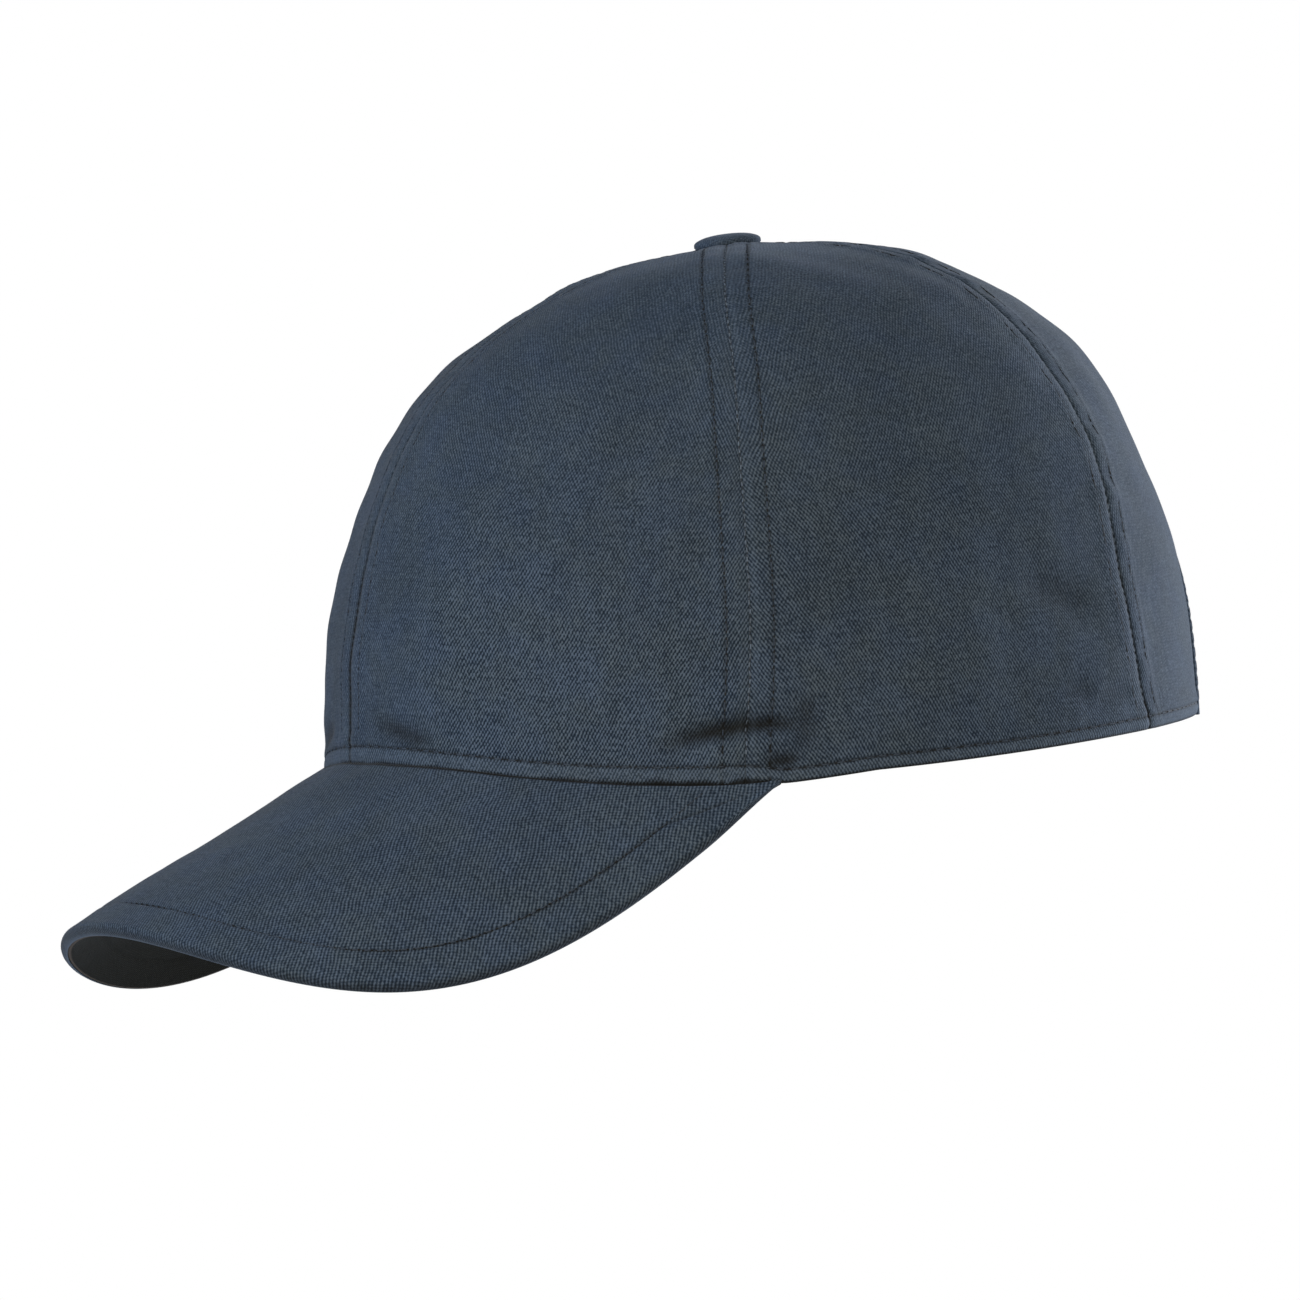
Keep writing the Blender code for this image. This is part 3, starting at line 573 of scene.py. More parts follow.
def woven(
    name, dark, middle, light, warp=WARP_PITCH, weft=WEFT_PITCH, rib=0.0,
    contrast=0.56, sheen=0.2, flecks=0.35, rubbed=None,
):
    """Plain-woven cloth with uneven linen threads. Its place comes from the weave map, in millimetres."""
    g = Graph(name)
    u, v = g.weave_place()
    wander = g.noise(g.vector(u, v), 0.09, 2)
    drift = g.noise(g.vector(v, u, 3.0), 0.13, 2)
    warp_place = g.math("DIVIDE", g.math("ADD", u, g.times(wander, 1.3)), warp)
    weft_place = g.math("DIVIDE", g.math("ADD", v, g.times(drift, 1.6)), weft)
    rising = g.math("COSINE", g.times(g.math("SUBTRACT", warp_place, weft_place), math.pi))
    falling = g.math("COSINE", g.times(g.math("ADD", warp_place, weft_place), math.pi))
    lean = g.field("lean")
    crossing = g.total(g.times(rising, lean), g.times(falling, g.math("SUBTRACT", 1.0, lean)))
    ribs = g.times(g.math("COSINE", g.times(weft_place, 2 * math.pi)), rib)
    weft_slub = g.noise(g.vector(g.times(warp_place, 0.09), weft_place), 0.9, 2, 0.6)
    warp_slub = g.noise(g.vector(warp_place, g.times(weft_place, 0.10), 7.0), 0.8, 2, 0.6)
    grain = g.noise(g.vector(warp_place, g.times(weft_place, 1.3), 11.0), 0.75, 3, 0.7)
    cloud = g.noise(g.vector(u, v, 5.0), 0.035, 3, 0.6)
    threads = g.total(
        g.times(crossing, contrast),
        g.times(ribs, contrast),
        g.centred(weft_slub, 0.6),
        g.centred(warp_slub, 0.4),
        g.centred(grain, 1.9),
    )
    fuzz = g.noise(g.vector(u, v, 41.0), 1.8, 3, 0.65)
    soft = g.math("SUBTRACT", 1.15, g.field("crisp"))
    level = g.total(
        g.times(threads, g.field("crisp")),
        g.times(g.centred(fuzz, soft), 2.3),
        g.centred(cloud, 0.35),
        0.5,
    )
    colour = g.ramp(level, (0.0, dark), (0.5, middle), (1.0, light))
    tint = g.ramp(
        g.noise(g.vector(u, v, 31.0), 0.11, 3),
        (0.36, (1.02, 1.0, 0.95)),
        (0.64, (0.98, 1.0, 1.05)),
    )
    colour = g.mix(1.0, colour, tint, "MULTIPLY")
    fleck = g.ramp(
        g.noise(g.vector(g.times(warp_place, 0.35), weft_place, 21.0), 1.1, 1),
        (0.70, (0, 0, 0)),
        (0.80, (1, 1, 1)),
    )
    colour = g.mix(g.times(fleck, flecks), colour, light)
    # Painted shade: the colour darkens towards near-black by this field, in needle holes, seam slits, the
    # hem's crease, fold bottoms and round the visor's edge.
    colour = g.mix(g.field("painted_shade"), colour, (0.009, 0.0085, 0.0065))
    colour = g.mix(g.field("worn"), colour, rubbed or light)
    g.set(Base_Color=colour, Roughness=0.92, Sheen_Weight=sheen, Sheen_Roughness=0.4)
    g.shader.inputs["Specular IOR Level"].default_value = 0.22
    g.shader.inputs["Sheen Tint"].default_value = (0.75, 0.85, 1.0, 1)
    height = g.total(g.times(crossing, 0.5), g.times(ribs, 0.5), g.times(weft_slub, 1.0), g.times(grain, 0.8))
    g.bump(height, 0.6, 0.15 * MM)
    return g.material


def thread(name, colour, ends=(0.004, 0.004, 0.004)):
    """Mottled thread, darkened with painted shade where its stitches go into the cloth."""
    g = Graph(name)
    place = g.place()
    shade = g.noise(place, 900, 2)
    mottled = g.ramp(shade, (0.3, tuple(0.7 * c for c in colour)), (0.7, tuple(1.3 * c for c in colour)))
    g.set(Base_Color=g.mix(g.field("painted_shade"), mottled, ends), Roughness=0.75)
    g.bump(shade, 0.4, 0.05 * MM)
    return g.material


def plain(name, colour, roughness, metallic=0.0, scale=300, spread=0.2, bump=0.05):
    """A hard or felted material with cloudy wear in its colour and roughness."""
    g = Graph(name)
    place = g.place()
    cloud = g.noise(place, scale * 0.15, 4, 0.6)
    grain = g.noise(place, scale * 5, 3, 0.6)
    darker = tuple((1 - spread) * c for c in colour)
    lighter = tuple((1 + spread) * c for c in colour)
    g.set(
        Base_Color=g.ramp(cloud, (0.3, darker), (0.7, lighter)),
        Roughness=g.math("ADD", roughness - 0.12, g.times(grain, 0.24)),
        Metallic=metallic,
    )
    g.bump(grain, 0.5, bump * MM)
    return g.material


NAVY = dict(dark=(0.012, 0.021, 0.034), middle=(0.046, 0.066, 0.094), light=(0.125, 0.165, 0.215))
MATERIALS = {
    "crown": woven("navy_linen_crown", **NAVY),
    "visor": woven("navy_linen_visor", **NAVY, warp=0.5, weft=0.6),
    "underside": woven(
        "dark_underbill_cloth",
        (0.004, 0.004, 0.002),
        (0.0065, 0.0065, 0.003),
        (0.012, 0.012, 0.007),
        contrast=0.1,
        sheen=0.02,
        flecks=0.1,
        rubbed=(0.22, 0.18, 0.15),
    ),
    "lining": woven("dark_lining_cloth", (0.006, 0.007, 0.009), (0.016, 0.018, 0.021), (0.04, 0.045, 0.05)),
    "tape": woven(
        "black_seam_tape",
        (0.005, 0.005, 0.007),
        (0.014, 0.015, 0.019),
        (0.04, 0.04, 0.05),
        warp=0.3,
        weft=0.45,
    ),
    "buckram": woven(
        "white_buckram_mesh",
        (0.30, 0.30, 0.27),
        (0.60, 0.59, 0.55),
        (0.78, 0.77, 0.72),
        warp=0.9,
        weft=0.9,
    ),
    "thread": thread("navy_thread", (0.042, 0.058, 0.082)),
    "pale_thread": thread("pale_thread", (0.15, 0.19, 0.24), (0.04, 0.05, 0.065)),
    "black_thread": thread("black_thread", (0.02, 0.021, 0.024)),
    "foam": plain("felted_foam", (0.46, 0.46, 0.43), 0.95, scale=500, bump=0.3),
    "board": plain("visor_board_plastic", (0.66, 0.67, 0.66), 0.5, scale=120, spread=0.05),
    "brass": plain("aged_satin_brass", (0.36, 0.27, 0.14), 0.38, 1.0, scale=260, spread=0.3, bump=0.03),
    "steel": plain("pressed_steel", (0.46, 0.47, 0.48), 0.34, 1.0, scale=260, spread=0.12, bump=0.02),
}


# ---------------------------------------------------------------- the six panels
def seam_columns(half_width, full_half_width):
    """Distances from a seam to the panel's middle, close together beside the seam."""
    count = int((full_half_width - NEAR_MARKS[-1]) / (1.15 * MM)) + 1
    near = min(NEAR_MARKS[-1], 0.55 * half_width)
    far = np.linspace(near, half_width, count + 1)[1:]
    return np.concatenate([NEAR_MARKS * near / NEAR_MARKS[-1], far])


def stitch_wave(climb):
    """1 at a needle hole and 0 in the middle of a stitch."""
    return np.cos(math.pi * (climb - ROW_FOOT - 0.1 * STITCH_PITCH) / STITCH_PITCH) ** 8


def rolled_edge(distance, roll, depth):
    """Height of a turned edge: down by depth at the edge itself, and level one roll in from it."""
    inside = np.clip(distance, 0, roll)
    return -depth * (1 - np.sqrt(np.clip(1 - ((roll - inside) / roll) ** 2, 0, 1)))


def seam_relief(away, climb, style):
    """Height and painted shade of a seam: its rolled edge, allowance, topstitch row, puckers and slit."""
    row, roll, depth, pucker, seed, line, slit_width, sewn = style
    height = rolled_edge(away, roll, depth)
    ridge = smooth(away, 0.6 * MM, 2.2 * MM) * (1 - smooth(away, row + 0.8 * MM, row + 2.6 * MM))
    groove = bell(away, row, 0.42 * MM)
    holes = bell(away, row, 0.32 * MM) * stitch_wave(climb)
    height = height + 0.20 * MM * ridge - sewn * (0.09 * MM * groove + 0.25 * MM * holes)
    rng = np.random.default_rng(seed)
    pulls = np.zeros(climb.shape)
    for _ in range(5):
        wavelength = rng.uniform(6, 13) * MM
        pulls += np.sin(2 * math.pi * climb / wavelength + rng.uniform(0, 6.28) + away / (4 * MM))
    height = height + pucker * pulls / 2 * np.exp(-away / (6.5 * MM)) * smooth(away, 0.2 * MM, 2.5 * MM)
    # Painted shade: in the needle holes and groove of the row, and along the slit between the panels, heavier
    # low down and beaded.
    low_down = 0.25 + 0.75 * (1 - smooth(climb, 30 * MM, 62 * MM))
    beaded = 0.75 + 0.25 * np.cos(2 * math.pi * climb / (1.9 * MM))
    slit = line * low_down * bell(away, 0, slit_width) * beaded
    return height, np.clip(sewn * (0.9 * holes + 0.05 * groove) + slit, 0, 1)


def over_visor(theta):
    """1 where the hem lies on the visor and 0 behind the visor's corners."""
    return 1 - smooth(turned(theta), math.radians(63), math.radians(70.5))


def hem_row(theta):
    return HEM_ROW + (HEM_ROW_FRONT - HEM_ROW) * over_visor(theta)


def hem_relief(theta, climb):
    """Height and painted shade of the hem: its turned edge, allowance and topstitch row."""
    row = hem_row(theta)
    height = rolled_edge(climb, 0.9 * MM, 0.45 * MM)
    ridge = smooth(climb, 0.3 * MM, 1.5 * MM) * (1 - smooth(climb, row + 1 * MM, row + 4 * MM))
    groove = bell(climb, row, 0.42 * MM)
    fine = bell(climb, row, 0.34 * MM)
    holes = np.cos(math.pi * theta * ARC_RADIUS / STITCH_PITCH) ** 2
    return height + 0.30 * MM * ridge - 0.22 * MM * groove, fine * (0.4 + 0.6 * holes)


# Each seam's topstitch distance, roll, depth, pucker and seed, then its slit's painted shade and width, and
# how deep its rows press.
SEAM_STYLES = {
    "front": (4.6 * MM, 0.7 * MM, 0.35 * MM, 0.05 * MM, 11, 1.1, 0.85 * MM, 0.35),
    "side": (SEAM_ROW, 0.5 * MM, 0.30 * MM, 0.08 * MM, 12, 0.2, 0.4 * MM, 1.3),
    "rear": (4.2 * MM, 1.0 * MM, 0.9 * MM, 0.24 * MM, 13, 1.3, 0.5 * MM, 0.3),
    "back": (SEAM_ROW, 0.8 * MM, 0.7 * MM, 0.12 * MM, 14, 0.3, 0.4 * MM, 1.0),
}
# Each seam's place round the crown, its style and the tape behind it.
SEAMS = {
    "front": (0.0, "front", "seam_tape_front"),
    "left": (FRONT_SEAM, "side", "seam_tape_front_left"),
    "rear_left": (REAR_SEAM, "rear", "seam_tape_rear_left"),
    "back": (BACK, "back", "seam_tape_rear"),
    "rear_right": (2 * BACK - REAR_SEAM, "rear", "seam_tape_rear_right"),
    "right": (-FRONT_SEAM, "side", "seam_tape_front_right"),
}
# Each panel's two edges, the styles of their seams, and the weave's lean low down and at the top.
PANELS = {
    "front_panel_left": (0, FRONT_SEAM, "front", "side", (0.64, 0.3)),
    "side_panel_left": (FRONT_SEAM, REAR_SEAM, "side", "rear", (0.34, 0.7)),
    "rear_panel_left": (REAR_SEAM, BACK, "rear", "back", (0.66, 0.3)),
    "rear_panel_right": (BACK, 2 * BACK - REAR_SEAM, "back", "rear", (0.34, 0.7)),
    "side_panel_right": (2 * BACK - REAR_SEAM, 2 * BACK - FRONT_SEAM, "rear", "side", (0.66, 0.3)),
    "front_panel_right": (-FRONT_SEAM, 0, "side", "front", (0.36, 0.7)),
}


def panel_climbs(full):
    """Each row's climb at each theta: close rows at the hem, then even ones to the top."""
    count = 195
    start = HEM_MARKS[-1]
    upper = start + (full[None, :] - start) * np.linspace(0, 1, count + 1)[1:, None]
    return np.concatenate([np.repeat(HEM_MARKS[:, None], len(full), axis=1), upper])


PANEL_CLIMBS, PANEL_ROWS = t_table(panel_climbs)


def side_sway(climb):
    """How far the side seams lean back from their straight line: forward at the hem and back above it."""
    above = smooth(climb, -20 * MM, 45 * MM) * (1 - smooth(climb, 85 * MM, 120 * MM))
    return 1.3 * MM * above - 2.6 * MM * bell(climb, 0, 22 * MM)


def rear_sway(climb):
    """The same for the rear seams: back at the hem and forward above it."""
    return 2.2 * MM * bell(climb, 0, 7 * MM) - 2.6 * MM * bell(climb, 33 * MM, 22 * MM)


def swayed(theta, climb, t):
    """theta moved round the crown with the side and rear seams, which aren't quite straight."""
    moved = theta
    for seam, sway in ((FRONT_SEAM, side_sway), (REAR_SEAM, rear_sway)):
        near = bell(turned(theta), seam, 0.3)
        moved = moved + np.sign(signed(theta)) * near * sway(climb) / spacing(seam, t)
    return moved


def panel_grid(start, end):
    """theta, t and climb over a panel, and the distance of each point from the panel's two seams."""
    half = (end - start) / 2
    thetas, ts, climbs, lefts = [], [], [], []
    widest = max(half * float(np.max(spacing(edge, np.linspace(0, 0.5, 20)))) for edge in (start, end))
    for climb_row, t_row in zip(PANEL_CLIMBS, PANEL_ROWS):
        parts, aways = [], []
        for edge in (start, end):
            reach = float(spacing(edge, np.interp(edge, ROUND, t_row)))
            away = seam_columns(half * reach, widest)
            parts.append(away / reach)
            aways.append(away)
        theta = np.concatenate([start + parts[0], (end - parts[1])[-2::-1]])
        theta = swayed(theta, np.interp(theta, ROUND, climb_row), np.interp(theta, ROUND, t_row))
        thetas.append(theta)
        ts.append(np.interp(theta, ROUND, t_row))
        climbs.append(np.interp(theta, ROUND, climb_row))
        lefts.append(np.concatenate([aways[0], aways[1][-2::-1]]))
    middle = len(parts[0]) - 1
    return np.array(thetas), np.array(ts), np.array(climbs), np.array(lefts), middle


def sewn_relief(theta, climb, away, middle, styles):
    """Height and painted shade of a panel's two seams and its hem, without the painted shade along the hem's
    edge.
    """
    relief, painted_shade = np.zeros(theta.shape), np.zeros(theta.shape)
    for part, style in zip((np.s_[:, : middle + 1], np.s_[:, middle:]), styles):
        height, dark = seam_relief(away[part], climb[part], SEAM_STYLES[style])
        relief[part] = height * (1 - smooth(away[part], 14 * MM, 20 * MM))
        painted_shade[part] = dark
    hem_ridge, hem_row_painted_shade = hem_relief(theta, climb)
    hem_near = 1 - smooth(climb, 6 * MM, 9 * MM)
    relief = relief * (0.45 + 0.55 * smooth(climb, 1 * MM, 5 * MM)) + hem_ridge * hem_near
    return relief, painted_shade + hem_row_painted_shade * hem_near


def make_panel(name, start, end, first, last, leans):
    theta, t, climb, away, middle = panel_grid(start, end)
    relief, painted_shade = sewn_relief(theta, climb, away, middle, (first, last))
    # Painted shade in a line along the hem's bottom edge, where it steps onto the visor, wider over the
    # visor; the folds add theirs.
    wander = 0.8 + 0.22 * ripple(crown(theta, t), 7 * MM, 19)
    crease = (0.45 + over_visor(theta) * wander * (0.55 + 0.3 * smooth(np.abs(theta), 0.25, 0.7))) * MM
    hem_edge_painted_shade = np.exp(-((climb / crease) ** 4))
    painted_shade = np.clip(painted_shade + hem_edge_painted_shade + fold_relief(theta, climb)[2], 0, 1)
    outer = cloth_point(theta, t, climb, relief)
    backing = -CLOTH - 0.7 * MM * (1 - smooth(away, 5.5 * MM, 7.5 * MM))
    inner = cloth_point(theta, t, climb, backing)
    across = (theta - (start + end) / 2) * spacing(theta, t)
    uv = np.stack([across, climb], -1) / MM
    low, high = leans
    lean = low + (high - low) * smooth(climb + 6 * MM * ripple(crown(theta, t), 30 * MM, 8), 52 * MM, 86 * MM)
    worn = 0.10 * bell(away, 1.4 * MM, 0.7 * MM)
    below_row = 1 - smooth(climb, hem_row(theta) - 0.7 * MM, hem_row(theta) - 0.2 * MM)
    worn += 0.22 * smooth(climb, crease, crease + 0.4 * MM) * below_row
    fields = {"lean": lean, "painted_shade": painted_shade, "worn": worn, "crisp": crisp(theta, climb)}
    made = closed_sheet(name + "_cloth", outer, inner, MATERIALS["crown"], uv, fields)
    finish_piece(made, "crown_cloth", name)
    return made


def crisp(theta, climb):
    """How plainly the weave shows: crisp low on the sides, softer where the cloth is rubbed at the top."""
    angle = turned(theta)
    low = 1 - smooth(climb, 45 * MM, 125 * MM)
    beside = (0.5 + 0.5 * smooth(angle, 0.15, 0.5)) * (1 - 0.6 * smooth(angle, 1.6, 2.1))
    above_hem = 1 - smooth(climb, 20 * MM, 60 * MM)
    in_front = smooth(angle, 0.2, 0.55) * (1 - smooth(angle, 0.95, 1.25)) * above_hem
    in_hem = 1 - smooth(climb - hem_row(theta), -0.4 * MM, 0)
    return 0.35 + 0.65 * low * beside + 0.55 * in_front + 0.6 * in_hem


def finish_piece(made, slot, *nodes):
    """Every modelled piece rides on the cap; the lever keeps its CAD solid."""
    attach(made, "cap")
    if nodes:
        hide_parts(*nodes)


def opening_edge(angle, inset=0.0):
    """theta and climb round the arch at the back."""
    half = OPENING_HALF_ANGLE - inset / HEAD_HALF_WIDTH
    return BACK - half * np.cos(angle), (OPENING_HEIGHT - inset) * np.sin(angle)


def cut_opening(panels):
    """Cuts the arch at the back out of the two rear panels."""
    theta, up = opening_edge(np.linspace(0, math.pi, 97))
    theta, up = np.concatenate([theta, theta[[-1, 0]]]), np.concatenate([up, [0, 0]])
    t = t_of(theta, up)
    rings = []
    for offset in (25 * MM, -25 * MM):
        ring = crown(theta, t) + offset * crown_axes(theta, t)[2]
        ring[-2:, 2] -= 30 * MM
        rings.append(ring)
    cutter = tube("opening_cutter", np.array(rings), MATERIALS["crown"], None)
    for panel in panels:
        modifier = panel.modifiers.new("opening", "BOOLEAN")
        modifier.operation = "DIFFERENCE"
        modifier.solver = "EXACT"
        modifier.object = cutter
        graph = bpy.context.evaluated_depsgraph_get()
        cut = bpy.data.meshes.new_from_object(panel.evaluated_get(graph))
        panel.modifiers.clear()
        panel.data = cut
    bpy.data.objects.remove(cutter)


def make_panels():
    made = {name: make_panel(name, *facts) for name, facts in PANELS.items()}
    cut_opening([made["rear_panel_left"], made["rear_panel_right"]])


# ---------------------------------------------------------------- topstitching of the crown
def crown_path(theta, climb, offset):
    """Points over the draped crown, and the way outward at each."""
    t = t_of(theta, climb)
    return cloth_point(theta, t, climb, filled(theta, offset)), crown_axes(theta, t)[2]


def sew(name, theta, climb, offset, material="thread", **sizes):
    points, outward = crown_path(theta, climb, offset)
    made = stitches(name, points, outward, MATERIALS[material], **sizes)
    finish_piece(made, "crown_cloth")


def make_seam_stitches():
    """Two topstitch rows beside each seam, and the seam's own thread in it."""
    for number, (name, (seam, style, _)) in enumerate(SEAMS.items()):
        row = SEAM_STYLES[style][0]
        foot = ROW_FOOT + 15 * STITCH_PITCH if name == "back" else ROW_FOOT
        climb = np.linspace(foot, near_apex(seam, 14 * MM, CLIMBED), 260)
        t = t_of(filled(climb, seam), climb)
        reach = spacing(seam, t)
        for side, sign in (("a", -1), ("b", 1)):
            theta = swayed(seam + sign * row / reach, climb, t)
            sew(f"topstitch_{name}_{side}", theta, climb, 0.10 * MM, seed=20 + number)
        beads = {"pitch": 1.9 * MM, "length": 1.5 * MM, "radius": 0.13 * MM, "seed": 40 + number}
        sunk = -0.06 * MM if style == "side" else -0.4 * MM
        wavy = seam + 0.12 * MM * np.sin(climb / (1.1 * MM)) / reach
        sew(f"seam_thread_{name}", swayed(wavy, climb, t), climb, sunk, "pale_thread", **beads)


def make_hem_stitches():
    end = BACK - OPENING_HALF_ANGLE - 1.5 * MM / HEAD_HALF_WIDTH
    theta = np.linspace(-end, end, 900)
    sew("topstitch_hem", theta, hem_row(theta), 0.05 * MM, seed=31)


# ---------------------------------------------------------------- the opening's binding
def make_binding():
    angles = np.linspace(0, math.pi, 150)
    section = rounded_section(3.0 * MM, 1.5 * MM, 0.55 * MM)
    loops, uvs = [], []
    run = 0.0
    previous = None
    for angle in angles:
        inset = 1.02 * MM - section[:, 0]
        theta, up = opening_edge(angle, inset)
        t = t_of(theta, up)
        offset = -0.3 * MM + section[:, 1]
        loop = crown(theta, t) + offset[:, None] * crown_axes(theta, t)[2]
        middle = loop.mean(axis=0)
        run += 0 if previous is None else float(np.linalg.norm(middle - previous))
        previous = middle
        loops.append(loop)
        uvs.append(np.stack([section[:, 0] + section[:, 1], np.full(len(section), run)], -1) / MM)
    loops, uvs = np.array(loops), np.array(uvs)
    fields = even_cloth(loops.shape[:2], worn=0.05, crisp=0.8)
    made = tube("opening_binding_cloth", loops[:, ::-1], MATERIALS["crown"], uvs[:, ::-1], fields)
    finish_piece(made, "crown_cloth", "opening_binding")
    theta, up = opening_edge(np.linspace(0.05, math.pi - 0.05, 200), 1.4 * MM)
    t = t_of(theta, up)
    outward = crown_axes(theta, t)[2]
    points = crown(theta, t) + 0.42 * MM * outward
    made = stitches("topstitch_opening", points, outward, MATERIALS["thread"], seed=33)
    finish_piece(made, "crown_cloth")


# ---------------------------------------------------------------- inside the crown
# Heights are up the cloth from the hem, and depths are in from its middle, outer face first.
SWEATBAND_HEIGHTS = (1 * MM, 33 * MM)
SWEATBAND_DEPTH = (-4.3 * MM, -4.9 * MM)
SWEATBAND_ROWS = (2.6 * MM, 30.5 * MM)
PAD_HALF_ANGLE = math.radians(72)
PAD_HEIGHTS = (3 * MM, 29 * MM)
PAD_DEPTH = (-2.9 * MM, -4.0 * MM)
BUCKRAM_DEPTH = (-1.6 * MM, -1.9 * MM)
TAPE_DEPTH = -2.35 * MM
TAPE_THICKNESS = 0.5 * MM
TAPE_HALF_WIDTH = 6.5 * MM


def band(name, node, slot, material, ends, heights, depth, corner, columns, waves):
    """A strip round the inside between two heights up the cloth, with a rounded edge."""
    section = fill_sides(rounded_section(heights[1] - heights[0], depth[0] - depth[1], corner, 3), 2.5 * MM)
    theta = np.linspace(*ends, columns)
    climb = np.mean(heights) + section[:, 0]
    grid_theta, grid_climb = np.meshgrid(theta, climb, indexing="ij")
    t = t_of(grid_theta, grid_climb)
    bumps = waves * ripple(crown(grid_theta, t), 14 * MM, 17)
    offset = np.mean(depth) + section[None, :, 1] + bumps
    points = lining_point(grid_theta, t, grid_climb, offset)
    uv = np.stack([grid_theta * HEAD_HALF_WIDTH, grid_climb], -1) / MM
    made = tube(name, points, MATERIALS[material], uv, even_cloth(t.shape))
    finish_piece(made, slot, node)
    return made


def fill_sides(section, longest):
    """A closed outline with points added, so that none are further apart than longest."""
    points = []
    for a, b in zip(section, np.roll(section, -1, axis=0)):
        count = max(1, int(math.ceil(np.linalg.norm(b - a) / longest)))
        points.append(a + (b - a) * (np.arange(count) / count)[:, None])
    return np.concatenate(points)


def make_sweatband():
    end = BACK - OPENING_HALF_ANGLE - 0.3 * MM / HEAD_HALF_WIDTH
    sizes = ((-end, end), SWEATBAND_HEIGHTS, SWEATBAND_DEPTH, 0.25 * MM, 420, 0.06 * MM)
    band("sweatband_cloth", "sweatband", "lining_cloth", "lining", *sizes)
    theta = np.linspace(-end + 0.02, end - 0.02, 700)
    for number, height in enumerate(SWEATBAND_ROWS):
        climb = filled(theta, height)
        t = t_of(theta, climb)
        inward = -crown_axes(theta, t)[2]
        points = lining_point(theta, t, climb, filled(theta, SWEATBAND_DEPTH[1] - 0.02 * MM))
        name = f"sweatband_stitch_{number}"
        row = stitches(name, points, inward, MATERIALS["black_thread"], seed=50 + number)
        finish_piece(row, "lining_cloth")
    sizes = ((-PAD_HALF_ANGLE, PAD_HALF_ANGLE), PAD_HEIGHTS, PAD_DEPTH, 0.5 * MM, 200, 0.05 * MM)
    pad = band("sweatband_pad_felt", "sweatband_pad", "foam", "foam", *sizes)


def make_buckrams():
    rows, columns = 60, 50
    inset = 3 * MM
    for side, start, end in (("left", 0, FRONT_SEAM), ("right", -FRONT_SEAM, 0)):
        middle = (start + end) / 2
        ts = np.linspace(float(t_of(middle, 2 * MM)), near_apex(middle, 12 * MM, T_STEPS), rows)
        left, right = start + inset / spacing(start, ts), end - inset / spacing(end, ts)
        theta, t = np.linspace(left, right, columns, axis=1), np.repeat(ts[:, None], columns, axis=1)
        climb = climb_at(theta, t)
        outer, inner = (lining_point(theta, t, climb, filled(t, depth)) for depth in BUCKRAM_DEPTH)
        uv = np.stack([(theta - middle) * spacing(theta, t), climb], -1) / MM
        name = f"front_buckram_{side}"
        made = closed_sheet(name + "_mesh", outer, inner, MATERIALS["buckram"], uv, even_cloth(t.shape))
        finish_piece(made, "buckram", name)


def make_tapes():
    for number, (seam, style, name) in enumerate(SEAMS.values()):
        foot = OPENING_HEIGHT + 6 * MM if style == "back" else 3 * MM
        climbs = np.linspace(foot, near_apex(seam, 4.5 * MM, CLIMBED), 140)
        t = t_of(filled(climbs, seam), climbs)
        reach = spacing(seam, t)
        half = np.minimum(TAPE_HALF_WIDTH, 0.42 * (REAR_SEAM - FRONT_SEAM) * reach)
        loops, uvs = [], []
        for climb, here, wide, stretch in zip(climbs, t, half, reach):
            section = rounded_section(2 * wide, TAPE_THICKNESS, min(0.2 * MM, wide / 3), 2)
            section = fill_sides(section, wide / 2.4)
            if len(loops) and len(section) != len(loops[-1]):
                section = section[: len(loops[-1])]
            theta = seam + section[:, 0] / stretch
            height = filled(theta, climb)
            loops.append(lining_point(theta, filled(theta, here), height, section[:, 1] + TAPE_DEPTH))
            uvs.append(np.stack([section[:, 0], height], -1) / MM)
        loops, uvs = np.array(loops), np.array(uvs)
        fields = even_cloth(loops.shape[:2])
        made = tube(name + "_cloth", loops[:, ::-1], MATERIALS["tape"], uvs[:, ::-1], fields)
        finish_piece(made, "seam_tape", name)
        for side, sign in (("a", -1), ("b", 1)):
            theta = seam + sign * (half - 1.2 * MM) / reach
            inward = -crown_axes(theta, t)[2][:-8]
            points = lining_point(theta, t, climbs, filled(theta, -2.62 * MM))[:-8]
            stitched = f"tape_stitch_{number}_{side}"
            row = stitches(stitched, points, inward, MATERIALS["black_thread"], seed=60 + number)
            finish_piece(row, "seam_tape")


# ---------------------------------------------------------------- the visor
def visor_point(s, v, offset):
    """A point of the visor's arched top: s across along the arch, v forward, offset out from it."""
    angle = s / VISOR_ARCH_WIDTH
    across, outward = VISOR_ARCH_DEPTH * np.sin(angle), VISOR_ARCH_WIDTH * np.cos(angle)
    length = np.hypot(across, outward)
    x = VISOR_ARCH_WIDTH * np.sin(angle) + offset * across / length
    n = -VISOR_ARCH_DEPTH * (1 - np.cos(angle)) + offset * outward / length
    y = -HEAD_HALF_LENGTH - math.cos(VISOR_DROOP) * v - math.sin(VISOR_DROOP) * n
    z = FRONT_HEM_HEIGHT - math.sin(VISOR_DROOP) * v + math.cos(VISOR_DROOP) * n
    return np.stack([x, y, z], -1)


def on_visor(theta, inset):
    """(s, v) where the visor meets the head's outline, drawn in by inset."""
    angle = np.arcsin(np.clip((HEAD_HALF_WIDTH - inset) * np.sin(theta) / VISOR_ARCH_WIDTH, -1, 1))
    n = -VISOR_ARCH_DEPTH * (1 - np.cos(angle))
    back = HEAD_HALF_LENGTH - (HEAD_HALF_LENGTH - inset) * np.cos(theta)
    v = (-back - math.sin(VISOR_DROOP) * n) / math.cos(VISOR_DROOP)
    return np.stack([VISOR_ARCH_WIDTH * angle, v], -1)


